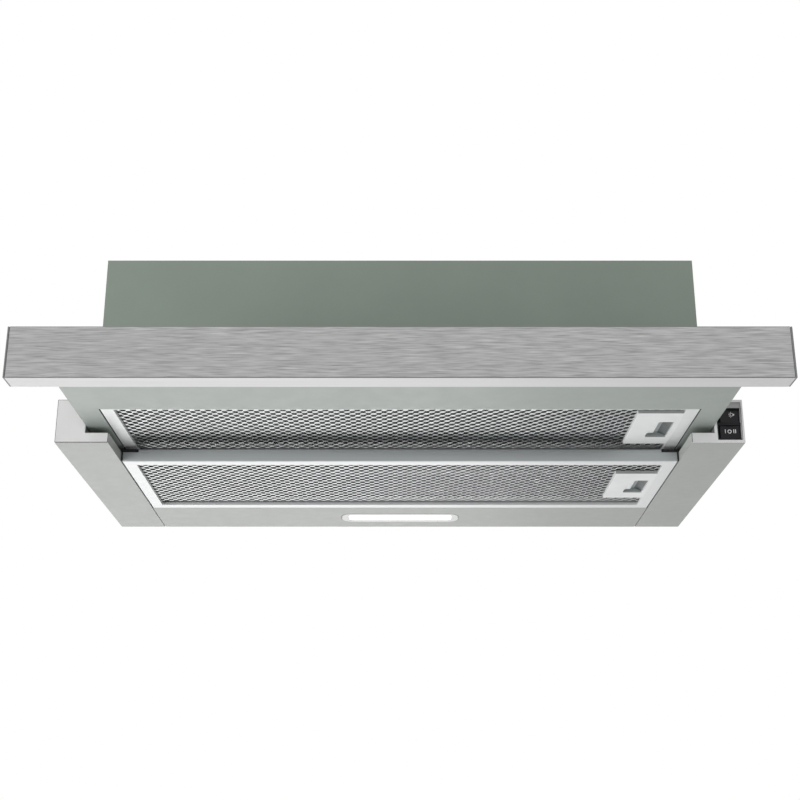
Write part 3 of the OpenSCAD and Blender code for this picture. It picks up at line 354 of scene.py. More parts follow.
class Shader(Graph):
    """A Principled material under construction, on Object coordinates."""

    def __init__(self, name: str, colour: Triple, roughness: float, metallic: float = 0.0) -> None:
        """Starts the material.

        Args:
            name: the finish's name.
            colour: the linear base colour.
            roughness: the shader's roughness.
            metallic: 1 for a bare metal.
        """
        self.material = bpy.data.materials.new(f"{name}_finish")
        self.material.use_nodes = True
        self.material.diffuse_color = (*colour, 1.0)
        super().__init__(self.material.node_tree)
        self.colour = colour
        self.surface = self.tree.nodes["Principled BSDF"]
        self.inputs = self.surface.inputs
        self.inputs["Base Color"].default_value = (*colour, 1.0)
        self.inputs["Roughness"].default_value = roughness
        self.inputs["Metallic"].default_value = metallic
        self.coordinates = self.node("TexCoord").outputs["Object"]

    def noise(self, scale: float, stretch: Triple = (1.0, 1.0, 1.0), detail: float = 3.0) -> Socket:
        """Adds a noise pattern.

        Args:
            scale: features per metre.
            stretch: how much finer the pattern is along each axis.
            detail: the number of finer octaves.

        Returns:
            The pattern's value socket.
        """
        mapping = self.node("Mapping", {"Vector": self.coordinates, "Scale": stretch})
        inputs = {"Vector": mapping.outputs["Vector"], "Scale": scale, "Detail": detail}
        return self.node("TexNoise", inputs).outputs["Fac"]

    def ramp(self, value: Socket, low: Triple, high: Triple, ends: tuple[float, float]) -> Socket:
        """Colours a pattern between two tones.

        Args:
            value: the pattern.
            low: the linear colour where the pattern is low.
            high: the linear colour where it is high.
            ends: the pattern's values at the two tones.

        Returns:
            The colour's socket.
        """
        ramp = self.node("ValToRGB", {"Fac": value})
        for stop, end, colour in zip(ramp.color_ramp.elements, ends, (low, high)):
            stop.position = end
            stop.color = (*colour, 1.0)
        return ramp.outputs["Color"]

    def mottle(self, value: Socket, dark: float, light: float) -> None:
        """Colours the surface by a pattern, between two factors of its colour."""
        tones = [tuple(min(1.0, part * factor) for part in self.colour) for factor in (dark, light)]
        self.link(self.ramp(value, *tones, NOISE_RANGE), self.inputs["Base Color"])

    def vary(self, value: Socket, low: float, high: float) -> None:
        """Varies the roughness by a pattern.

        Args:
            value: the pattern.
            low: the roughness where the pattern is low.
            high: the roughness where it is high.
        """
        limits = dict(zip(("From Min", "From Max", "To Min", "To Max"), (*NOISE_RANGE, low, high)))
        spread = self.node("MapRange", {"Value": value, **limits}).outputs["Result"]
        self.link(spread, self.inputs["Roughness"])

    def bump(self, value: Socket, height: float, strength: float) -> None:
        """Gives the surface a relief by a pattern, with a height in metres."""
        inputs = {"Strength": strength, "Distance": height, "Height": value}
        self.link(self.node("Bump", inputs).outputs["Normal"], self.inputs["Normal"])


class Axis(Enum):
    """The axis along which a surface was rolled, drawn or brushed."""

    X = 0
    Y = 1


@dataclass(frozen=True)
class Surface:
    """What painted, zinced and moulded surfaces share: patches of tone and sheen, and a relief."""

    name: str
    colour: Triple
    roughness: float = 0.42
    tones: tuple[float, float] = (0.97, 1.03)
    clouds: float = 14.0
    cloud_detail: float = 4.0
    sheen: float = 90.0
    sheen_range: tuple[float, float] = (-0.05, 0.05)
    grain: float = 650.0
    grain_detail: float = 2.0
    depth: float = 0.06 * MM
    strength: float = 0.35
    metallic: float = 0.0
    gloss: float = 0.5

    def patches(self, shader: Shader) -> Socket:
        """Makes the pattern of the surface's tones."""
        return shader.noise(self.clouds, detail=self.cloud_detail)

    def build(self) -> bpy.types.Material:
        """Makes the material.

        Returns:
            The finished material.
        """
        shader = Shader(self.name, self.colour, self.roughness, self.metallic)
        shader.inputs["Specular IOR Level"].default_value = self.gloss
        shader.mottle(self.patches(shader), *self.tones)
        shader.vary(shader.noise(self.sheen), *(self.roughness + part for part in self.sheen_range))
        shader.bump(shader.noise(self.grain, detail=self.grain_detail), self.depth, self.strength)
        return shader.material


@dataclass(frozen=True)
class BakedPaint(Surface):
    """Baked powder paint on sheet: a fine orange peel and a faint mottle."""


@dataclass(frozen=True)
class Moulded(Surface):
    """Moulded plastic or rubber: an eroded mould's grain and a faint flow shade."""

    roughness: float = 0.45
    tones: tuple[float, float] = (0.96, 1.04)
    clouds: float = 35.0
    cloud_detail: float = 3.0
    sheen: float = 240.0
    sheen_range: tuple[float, float] = (-0.04, 0.06)
    grain: float = 1800.0
    depth: float = 0.04 * MM
    strength: float = 0.4


@dataclass(frozen=True)
class Spangle(Surface):
    """Zinc or foil, with the soft patches of its crystals."""

    roughness: float = 0.38
    tones: tuple[float, float] = (0.86, 1.06)
    clouds: float = 160.0
    sheen: float = 120.0
    sheen_range: tuple[float, float] = (-0.08, 0.08)
    grain: float = 900.0
    grain_detail: float = 3.0
    depth: float = 0.04 * MM
    strength: float = 0.25
    metallic: float = 1.0

    def patches(self, shader: Shader) -> Socket:
        """Makes the pattern of the crystals."""
        inputs = {"Vector": shader.coordinates, "Scale": self.clouds}
        return shader.node("TexVoronoi", inputs).outputs["Distance"]


@dataclass(frozen=True)
class WorkedMetal:
    """Bare metal with the fine lines of brushing, rolling or drawing along one axis."""

    name: str
    colour: Triple
    along: Axis
    roughness: float = 0.34
    lines: float = 1400.0
    contrast: float = 0.16
    metallic: float = 1.0
    stretch: float = 0.012
    streak_share: float = 0.25
    hair_weight: float = 0.55
    duller: float = 0.08
    shinier: float = 0.06
    relief: float = 0.03 * MM
    strength: float = 0.5

    def drawn_out(self, stretch: float) -> list[float]:
        """Returns a pattern's scale along each axis, drawn out along the lines."""
        return [stretch if axis == self.along.value else 1.0 for axis in range(3)]

    def build(self) -> bpy.types.Material:
        """Makes the material.

        Returns:
            The finished material.
        """
        shader = Shader(self.name, self.colour, self.roughness, self.metallic)
        hairs = shader.noise(self.lines, self.drawn_out(self.stretch))
        wide = self.drawn_out(2 * self.stretch)
        streaks = shader.noise(self.lines * self.streak_share, wide, detail=4.0)
        share = shader.combine("MULTIPLY", streaks, 1 - self.hair_weight)
        pattern = shader.combine("MULTIPLY_ADD", hairs, self.hair_weight, share)
        shader.mottle(pattern, 1 - self.contrast, 1 + self.contrast)
        shader.vary(pattern, self.roughness + self.duller, self.roughness - self.shinier)
        shader.bump(pattern, self.relief, self.strength)
        return shader.material


@dataclass(frozen=True)
class LitDiffuser:
    """The frosted lens with light behind it, a little brighter over each light."""

    name: str
    colour: Triple = (0.85, 0.85, 0.84)
    roughness: float = 0.35
    between: Triple = (0.93, 0.94, 0.93)
    over: Triple = (1.0, 1.0, 0.985)
    glow: float = 0.6
    lights: int = 9
    length: float = 108 * MM
    bands_per_scale: float = 20.0
    frost: float = 1500.0
    depth: float = 0.05 * MM
    strength: float = 0.3

    def build(self) -> bpy.types.Material:
        """Makes the material.

        Returns:
            The finished material.
        """
        shader = Shader(self.name, self.colour, self.roughness)
        scale = self.lights / self.length / self.bands_per_scale
        inputs = {"Vector": shader.coordinates, "Scale": scale}
        wave = shader.node("TexWave", inputs, bands_direction="X").outputs["Fac"]
        light = shader.ramp(wave, self.between, self.over, (0.0, 1.0))
        shader.link(light, shader.inputs["Emission Color"])
        shader.inputs["Emission Strength"].default_value = self.glow
        shader.bump(shader.noise(self.frost), self.depth, self.strength)
        return shader.material


SLOTS = {
    "drawer_paint": "body_paint",
    "screw_zinc": "zinc",
    "switch_ring": "cap_plastic",
    "end_plastic": "cap_plastic",
    "frame_aluminium": "filter_aluminium",
    "rail_shade_aluminium": "filter_aluminium",
    "net_foil": "mesh_aluminium",
    "back_foil_shade": "mesh_aluminium",
    "dark_line": "black_plastic",
    "joint_and_shade_black": "black_plastic",
    "white_print": "rocker_plastic",
}


class Finish(Enum):
    """The hood's finishes, named as a maker would, and the colours that paint shade on some faces.
    """

    # A greener paint, darker than the body paint partly as painted shade: the box is coloured as if
    # its front were dimly lit.
    CASING_PAINT = BakedPaint("casing_paint", (0.262, 0.312, 0.266), roughness=0.5)
    BODY_PAINT = BakedPaint("body_paint", (0.40, 0.415, 0.396))
    DRAWER_PAINT = BakedPaint("drawer_paint", (0.345, 0.380, 0.357), roughness=0.4)
    MOTOR_STEEL = BakedPaint("motor_steel", (0.26, 0.28, 0.29), roughness=0.36)
    ZINC = Spangle("zinc", (0.46, 0.48, 0.49))
    NET_FOIL = Spangle("net_foil", (0.51, 0.515, 0.515), roughness=0.32)
    # Near black as painted shade: the back net stands for the dark space seen through the outer
    # net's holes.
    BACK_FOIL = Spangle("back_foil_shade", (0.06, 0.062, 0.066), roughness=0.6)
    CAP_PLASTIC = Moulded("cap_plastic", (0.80, 0.80, 0.795), roughness=0.4)
    # Painted shade: the dark lines along the caps' edge rounds stand for shade at their edges.
    CAP_EDGE = Moulded("cap_edge_shade", (0.09, 0.09, 0.09), roughness=0.5)
    # Painted shade: grey for the shaded step above the rockers and the shaded wall beside each
    # rocker.
    WELL_GREY = Moulded("well_shade", (0.42, 0.42, 0.425), roughness=0.5)
    SWITCH_RING = Moulded("switch_ring", (0.80, 0.805, 0.80), roughness=0.38)
    END_PLASTIC = Moulded("end_plastic", (0.21, 0.21, 0.215), roughness=0.4)
    HANDLE_PLASTIC = Moulded("handle_plastic", (0.84, 0.85, 0.85), roughness=0.36)
    # Painted shade: the handle plates' front-facing sides are coloured darker than the plate.
    HANDLE_SIDE = Moulded("handle_side_shade", (0.40, 0.41, 0.41), roughness=0.4)
    LATCH_PLASTIC = Moulded("latch_plastic", (0.72, 0.72, 0.72), roughness=0.28)
    LATCH_GREY = Moulded("latch_grey", (0.32, 0.35, 0.35), roughness=0.42)
    # Painted shade: the right part of the finger dish is coloured near black as shaded.
    DISH_GREY = Moulded("dish_shade", (0.075, 0.087, 0.087), roughness=0.5)
    LAMP_TRIM = Moulded("lamp_trim", (0.66, 0.67, 0.66), roughness=0.3)
    LAMP_DIFFUSER = LitDiffuser("lamp_diffuser")
    CIRCUIT_BOARD = Moulded("circuit_board", (0.05, 0.16, 0.07), roughness=0.35)
    FAN_PLASTIC = Moulded("fan_plastic", (0.03, 0.032, 0.034), roughness=0.5)
    MOUNT_RUBBER = Moulded("mount_rubber", (0.018, 0.018, 0.02), roughness=0.75)
    BOX_PLASTIC = Moulded("box_plastic", (0.70, 0.69, 0.64))
    BLACK_PLASTIC = Moulded("black_plastic", (0.012, 0.012, 0.014), roughness=0.42, gloss=0.25)
    GASKET = Moulded("dark_line", (0.24, 0.24, 0.24), roughness=0.7)
    # Black: fills the caps' dark seams, and as painted shade stands for the gap beside the front
    # filter and the slot at the rail's ends.
    SEAL_FOAM = Moulded(
        "joint_and_shade_black", (0.010, 0.010, 0.011), roughness=0.9, grain=1200.0, depth=0.1 * MM
    )
    ROCKER_PLASTIC = Moulded("rocker_plastic", (0.012, 0.011, 0.014), roughness=0.34, gloss=0.22)
    WHITE_PRINT = Moulded("white_print", (0.80, 0.80, 0.80), roughness=0.5)
    LEAD_SLEEVE = Moulded("lead_sleeve", (0.66, 0.66, 0.63), roughness=0.5)
    SPRING_STEEL = WorkedMetal("spring_steel", (0.55, 0.56, 0.57), Axis.Y, roughness=0.25)
    SCREW_ZINC = WorkedMetal(
        "screw_zinc", (0.62, 0.63, 0.64), Axis.X, roughness=0.3, lines=900.0, contrast=0.05
    )
    PANEL_PROFILE = WorkedMetal(
        "panel_profile", (0.69, 0.69, 0.69), Axis.X,
        roughness=0.45, lines=500.0, contrast=0.03, metallic=0.1,
    )
    BRUSHED_SKIN = WorkedMetal(
        "brushed_skin", (0.40, 0.40, 0.40), Axis.X,
        lines=1900.0, contrast=0.40, stretch=0.028, streak_share=0.45,
    )
    FRAME_ALUMINIUM = WorkedMetal(
        "frame_aluminium", (0.80, 0.81, 0.81), Axis.X,
        roughness=0.42, lines=700.0, contrast=0.03, metallic=0.3,
    )
    # Darker than the frame as painted shade: the rail is coloured as the shaded front of the frame.
    RAIL_ALUMINIUM = WorkedMetal(
        "rail_shade_aluminium", (0.49, 0.52, 0.525), Axis.X,
        roughness=0.5, lines=500.0, contrast=0.06, metallic=0.4,
    )
    # The frames' front-facing faces, coloured a little darker as painted shade.
    FRAME_WALL = WorkedMetal(
        "frame_wall", (0.74, 0.75, 0.755), Axis.X,
        roughness=0.5, lines=500.0, contrast=0.05, metallic=0.3,
    )

    @property
    def slot(self) -> str:
        """Returns the record's material slot that the finish belongs to."""
        return SLOTS.get(self.value.name, self.value.name)

    def material(self) -> bpy.types.Material:
        """Returns the finish's material, made at its first use."""
        return bpy.data.materials.get(f"{self.value.name}_finish") or self.value.build()


@dataclass
class Bench:
    """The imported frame, with what every sub-assembly needs to dress it."""

    frame: dict
    made: list[str] = field(default_factory=list)
    flat: float = 0.5
    sharp: float = 40.0

    def coat(self, piece: Piece, finish: Finish) -> None:
        """Gives a piece one finish in all its material slots.

        Args:
            piece: the piece.
            finish: its finish.
        """
        if not piece.data.materials:
            piece.data.materials.append(finish.material())
        for slot in piece.material_slots:
            slot.material = finish.material()

    def coat_faces(self, piece: Piece, finish: Finish, test: FaceTest) -> None:
        """Gives the faces that pass a test a finish of their own.

        Args:
            piece: the piece, already coated.
            finish: the second finish.
            test: says whether a face gets it.
        """
        piece.data.materials.append(finish.material())
        piece.active_material_index = len(piece.data.materials) - 1
        with edit(piece):
            pick_faces(piece, test)
            bpy.ops.object.material_slot_assign()

    def coat_nodes(self, finish: Finish, *nodes: str) -> None:
        """Gives nodes that stay as they are their finish.

        Args:
            finish: the finish.
            nodes: the nodes' names.
        """
        for node in nodes:
            self.coat(self.frame["nodes"][node], finish)
            self.made.append(node)
            LOG.info("%s stays as it is", node)

    def settle(
        self, piece: Piece, name: str, body: str, finish: Finish, replaces: str = "", slot: str = ""
    ) -> Piece:
        """Finishes a new piece: its name, its material, its body and what it stands for.

        Args:
            piece: the piece, with its place in its mesh.
            name: its name.
            body: the body that it rides on.
            finish: its finish.
            replaces: the node that it stands for.
            slot: not used.

        Returns:
            The piece.
        """
        piece.name = name
        self.coat(piece, finish)
        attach(piece, body)
        if replaces:
            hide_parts(replaces)
        self.made.append(name)
        LOG.info("%s rides on %s", name, body)
        return piece

    def dressed(self, piece: Piece, node: str, finish: Finish, slot: str = "") -> Piece:
        """Settles a piece that stands for a node, on the node's own body."""
        body = self.frame["nodes"][node]["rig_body"]
        return self.settle(piece, f"{node}_dressed", body, finish, node, slot)

    def whole_copy(self, node: str) -> Piece:
        """Copies a node's mesh and merges its loose triangles into whole faces.

        Args:
            node: the node's name.

        Returns:
            The copy, riding on nothing yet.
        """
        only(self.frame["nodes"][node])
        bpy.ops.object.duplicate()
        piece = bpy.context.object
        piece.parent = None
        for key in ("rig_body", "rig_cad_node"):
            del piece[key]
        if piece.data.has_custom_normals:
            bpy.ops.mesh.customdata_custom_splitnormals_clear()
        with edit(piece):
            bpy.ops.mesh.remove_doubles(threshold=MERGE)
            bpy.ops.mesh.dissolve_limited(angle_limit=math.radians(self.flat))
        return piece

    def rounded(
        self, node: str, finish: Finish, radius: float, segments: int = 2, slot: str = ""
    ) -> Piece:
        """Replaces a node by a copy with rounded edges.

        Args:
            node: the node's name.
            finish: the copy's finish.
            radius: the edges' radius in millimetres.
            segments: the number of segments in a round.
            slot: the record's material slot, where it isn't the finish's own.

        Returns:
            The copy.
        """
        piece = self.whole_copy(node)
        bevel(piece, radius * MM, segments, self.sharp)
        keep_inside(piece, *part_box(node))
        even_shading(piece)
        return self.dressed(piece, node, finish, slot)

    def round_all(self, *rows: tuple) -> None:
        """Rounds nodes, a row for each: node, finish, radius and, at will, segments and slot."""
        for row in rows:
            self.rounded(*row)


@dataclass(frozen=True)
class SoftLamp:
    """A soft square lamp: its place, its aim, its side in metres and its power in watts."""

    name: str
    place: Triple
    aim: Triple
    size: float
    power: float

    def hang(self) -> None:
        """Hangs the lamp."""
        turn = (Vector(self.aim) - Vector(self.place)).to_track_quat("-Z", "Y").to_euler()
        bpy.ops.object.light_add(type="AREA", location=self.place, rotation=turn)
        lamp = bpy.context.object
        lamp.name = self.name
        lamp.data.size = self.size
        lamp.data.energy = self.power


@dataclass
class Studio:
    """The camera, the lamps, the white surroundings and the pale floor."""

    focal: float = 59.73
    sensor: float = 36.0
    eye: Triple = (0.0, -1.1662, -0.3514)
    pitch: float = 19.59
    floor_z: float = -1.6
    floor_size: float = 80.0
    floor_colour: Triple = (0.86, 0.86, 0.86)
    floor_roughness: float = 0.8
    floor_grain: float = 60.0
    floor_relief: float = 0.5 * MM
    floor_strength: float = 0.1
    floor_white: float = 0.6
    ambient: float = 0.58
    lamps: tuple[SoftLamp, ...] = (
        SoftLamp("key_lamp", (-2.2, -1.3, -0.6), (-0.05, 0.0, 0.08), 1.4, 30.0),
        SoftLamp("low_lamp", (-0.6, 1.4, -1.4), (0.0, 0.0, 0.0), 2.4, 24.0),
        SoftLamp("top_lamp", (-0.3, 0.5, 2.2), (0.0, 0.0, 0.2), 1.6, 9.0),
    )

    def build(self) -> None:
        """Sets up the whole studio."""
        self.place_camera()
        self.lay_floor()
        self.light_world()
        for lamp in self.lamps:
            lamp.hang()

    def place_camera(self) -> None:
        """Puts the camera where the photograph's straight edges say it stood."""
        turn = (math.radians(90 + self.pitch), 0, 0)
        bpy.ops.object.camera_add(location=self.eye, rotation=turn)
        camera = bpy.context.object
        camera.data.lens = self.focal
        camera.data.sensor_width = self.sensor
        bpy.context.scene.camera = camera

    def lay_floor(self) -> None:
        """Lays a wide pale floor well below the hood."""
        bpy.ops.mesh.primitive_plane_add(size=self.floor_size, location=(0, 0, self.floor_z))
        floor = bpy.context.object
        floor.name = "floor"
        shader = Shader("floor_matt", self.floor_colour, self.floor_roughness)
        shader.bump(shader.noise(self.floor_grain), self.floor_relief, self.floor_strength)
        seen = shader.node("LightPath").outputs["Is Camera Ray"]
        share = shader.combine("MULTIPLY", seen, self.floor_white)
        white = shader.node("Emission", {"Color": WHITE}).outputs[0]
        mix = shader.node("MixShader", {0: share, 1: shader.surface.outputs[0], 2: white})
        shader.link(mix.outputs[0], shader.tree.nodes["Material Output"].inputs["Surface"])
        floor.data.materials.append(shader.material)

    def light_world(self) -> None:
        """Makes the surroundings white to the eye and a softer light on the surfaces."""
        scene = bpy.context.scene
        scene.world = scene.world or bpy.data.worlds.new("surroundings")
        scene.world.use_nodes = True
        graph = Graph(scene.world.node_tree)
        graph.tree.nodes.clear()
        rays = graph.node("LightPath").outputs
        mirrored = graph.combine("MAXIMUM", rays["Is Glossy Ray"], rays["Is Transmission Ray"])
        seen = graph.combine("MAXIMUM", rays["Is Camera Ray"], mirrored)
        soft = graph.node("Background", {"Color": WHITE, "Strength": self.ambient}).outputs[0]
        white = graph.node("Background", {"Color": WHITE}).outputs[0]
        mix = graph.node("MixShader", {0: seen, 1: soft, 2: white})
        graph.node("OutputWorld", {"Surface": mix.outputs[0]})
        scene.view_settings.view_transform = "Standard"


@dataclass
class Casing:
    """The motor box and the lower body: folded painted sheets, caps and fixings."""

    bench: Bench
    fold: float = 0.6
    cap_round: float = 0.6
    strip_fold: float = 0.35
    seam: float = 1.3 * MM
    seam_lift: float = 0.04 * MM
    seam_round: float = 0.13 * MM
    edge: float = 1.0 * MM
    edge_tilt: float = 0.25
    step_h: float = 5.2 * MM
    step_d: float = 1.2 * MM

    def build(self) -> None:
        """Dresses every piece of the casing."""
        bench = self.bench
        for node in ("motor_box", "top_plate", "rear_panel"):
            # Box, top and back take the darker paint, which partly holds painted shade.
            bench.rounded(node, Finish.CASING_PAINT, self.fold)
        for side in SIDES:
            bench.rounded(f"side_casing_{side}", Finish.BODY_PAINT, self.fold)
            self.fill_seam(side)
        bench.rounded("rear_strip", Finish.BODY_PAINT, self.strip_fold)
        for side, finish in zip(SIDES, (Finish.CAP_PLASTIC, Finish.SWITCH_RING)):
            cap = bench.rounded(f"front_cap_{side}", finish, self.cap_round, 3)
            low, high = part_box(f"front_cap_{side}")
            # The caps' edge rounds are coloured dark: painted shade lines.
            bench.coat_faces(cap, Finish.CAP_EDGE, partial(self.on_edge, low=low, high=high))
            if side == "right":
                self.sink_step(cap, low.y)
        bench.coat_nodes(Finish.ZINC, "deck_plate")
        bench.round_all(
            ("slide_outer_left", Finish.ZINC, 0.3),
            ("slide_outer_right", Finish.ZINC, 0.3),
            ("drawer_stops", Finish.BLACK_PLASTIC, 0.6),
            ("terminal_box", Finish.BOX_PLASTIC, 0.8),
            ("drawer_microswitch", Finish.BLACK_PLASTIC, 0.4),
        )
        bench.coat_nodes(Finish.SPRING_STEEL, "rear_filter_keeper")

    def sink_step(self, cap: Piece, front: float) -> None:
        """Sinks the step above the rockers into the right cap, its faces coloured grey as painted
        shade.

        Args:
            cap: the dressed cap.
            front: the place of the cap's front along Y.
        """
        low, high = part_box("lamp_switch_body")
        bottom, top = high.z - self.cap_round * MM, high.z + self.step_h
        middle = ((low.x + high.x) / 2, front, (bottom + top) / 2)
        carve(cap, block(middle, (high.x - low.x, 2 * self.step_d, top - bottom)))
        even_shading(cap)
        # The step's faces are coloured grey: painted shade.
        self.bench.coat_faces(
            cap, Finish.WELL_GREY,
            lambda face: low.x - MERGE < face.center.x < high.x + MERGE
            and front + MERGE < face.center.y < front + self.step_d + MERGE
            and bottom < face.center.z <= top + MERGE,
        )

    def on_edge(self, face: Face, low: Vector, high: Vector) -> bool:
        """Says whether a face is on the round of one of a cap's edges that are painted dark as a
        shade line.

        Args:
            face: the face.
            low: the cap's lowest corner.
            high: the cap's highest corner.

        Returns:
            True for a face on one of those rounds.
        """
        normal, middle, tilt = face.normal, face.center, self.edge_tilt
        if normal.y > -tilt:
            return False
        lower = normal.z < -tilt and middle.z < low.z + self.edge
        outer = normal.x < -tilt and middle.x < low.x + self.edge
        inner = normal.x > tilt and low.x < 0 and middle.x > high.x - self.edge
        upper = normal.z > tilt and low.x < 0 and middle.z > high.z - self.edge
        return lower or outer or inner or upper

    def fill_seam(self, side: str) -> None:
        """Fills the seam between a front cap and the casing behind it with a dark bead.

        Args:
            side: left or right.
        """
        low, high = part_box(f"side_casing_{side}")
        middle = ((low.x + high.x) / 2, low.y, low.z + self.seam / 4 + self.seam_lift)
        bead = block(middle, (high.x - low.x - self.seam, self.seam, self.seam / 2))
        bevel(bead, self.seam_round)
        smooth(bead)
        self.bench.settle(bead, f"cap_seam_{side}", "hood_body", Finish.SEAL_FOAM)


@dataclass
class Lamp:
    """The lamp in the rear strip: trim, frosted lens and its board."""

    bench: Bench
    corner: float = 12.0 * MM
    rim: float = 1.2 * MM
    rim_t: float = 0.8 * MM
    lip: float = 2.0 * MM
    lift: float = 0.02 * MM
    sides: int = 48
    least_area: float = 0.001

    def build(self) -> None:
        """Dresses the lamp."""
        self.bench.rounded("lamp_bezel", Finish.LAMP_TRIM, 1.6, 4)
        self.bench.rounded("lamp_lens", Finish.LAMP_DIFFUSER, 0.3)
        self.bench.coat_nodes(Finish.CIRCUIT_BOARD, "lamp_board")
        self.lay_shade_line()

    def lay_shade_line(self) -> None:
        """Lays the thin dark strip along the front of the trim: painted shade of the trim's
        shadowed front wall.
        """
        low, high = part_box("lamp_bezel")
        middle, lip = (low + high) / 2, Vector((self.lip, self.lip, 0))
        low, high = low + lip, high - lip
        bpy.ops.mesh.primitive_cylinder_add(
            vertices=self.sides, radius=self.corner, depth=self.rim_t, location=(0, 0, 0)
        )
        dark_line = bpy.context.object
        with edit(dark_line):
            for axis in (0, 1):
                shift = Vector()
                shift[axis] = (high[axis] - low[axis]) / 2 - self.corner
                shift_points(dark_line, lambda p: p[axis] > MERGE, shift)
                shift_points(dark_line, lambda p: p[axis] < -MERGE, -shift)
            pick_faces(dark_line, lambda face: abs(face.normal.z) > SQUARE)
            bpy.ops.mesh.inset(thickness=self.rim, depth=0)
            pick_faces(
                dark_line, lambda face: abs(face.normal.z) > SQUARE and face.area > self.least_area
            )
            bpy.ops.mesh.bridge_edge_loops()
            # Only the front half stays, where the shade line shows.
            bisect((0, 0, 0), (0, 1, 0), clear_outer=True, use_fill=True)
        dark_line.location = (middle.x, middle.y, low.z + self.rim_t / 2 + self.lift)
        place_in_mesh(dark_line)
        smooth(dark_line)
        # Black, as painted shade.
        self.bench.settle(dark_line, "lamp_gasket", "hood_body", Finish.BLACK_PLASTIC)


@dataclass
class DrawerFront:
    """The pull-out drawer: its tray, cover, runners and the front panel."""

    bench: Bench
    fold: float = 0.5
    joint: float = 0.42 * MM
    joint_depth: float = 0.6
    joint_round: float = 0.063 * MM
    # The black strip beside the front filter is painted shade of the gap there.
    shade_strip: float = 0.7 * MM
    shade_strip_gap: float = 0.15 * MM
    shade_strip_lift: float = 1.2
    shade_strip_round: float = 0.14 * MM

    def build(self) -> None:
        """Dresses the drawer."""
        bench = self.bench
        bench.round_all(
            ("drawer_tray", Finish.DRAWER_PAINT, 0.3),
            ("drawer_cover", Finish.DRAWER_PAINT, 0.2),
            ("front_panel_body", Finish.PANEL_PROFILE, self.fold),
            ("front_panel_skin", Finish.BRUSHED_SKIN, 0.25),
        )
        for side in SIDES:
            bench.rounded(f"panel_end_cap_{side}", Finish.END_PLASTIC, self.fold, 3)
            bench.rounded(f"slide_inner_{side}", Finish.ZINC, 0.3)
        bench.coat_nodes(Finish.ZINC, "ball_cages")
        bench.coat_nodes(Finish.SPRING_STEEL, "front_filter_keeper")
        self.fill_joint()
        self.shade_opening()

    def fill_joint(self) -> None:
        """Fills the joints above and below the brushed skin with dark beads."""
        low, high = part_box("front_panel_skin")
        middle, size = (low + high) / 2, high - low
        bead = block(
            (middle.x, middle.y, low.z - self.joint / 2),
            (size.x, size.y * self.joint_depth, self.joint),
        )
        bevel(bead, self.joint_round)
        smooth(bead)
        beads = join([bead, copy_of(bead, (0, 0, size.z + self.joint))])
        self.bench.settle(beads, "panel_joint", "drawer", Finish.GASKET)

    def shade_opening(self) -> None:
        """Lines the sides of the tray's opening with a black strip: painted shade for the shadow
        gap beside the front filter.
        """
        low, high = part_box("front_filter_frame")
        middle = (
            high.x + self.shade_strip_gap + self.shade_strip / 2,
            (low.y + high.y) / 2,
            low.z + self.shade_strip_lift * self.shade_strip,
        )
        shade_strip = block(middle, (self.shade_strip, high.y - low.y, 2 * self.shade_strip))
        bevel(shade_strip, self.shade_strip_round)
        mirror(shade_strip)
        smooth(shade_strip)
        self.bench.settle(shade_strip, "drawer_seal", "drawer", Finish.SEAL_FOAM)


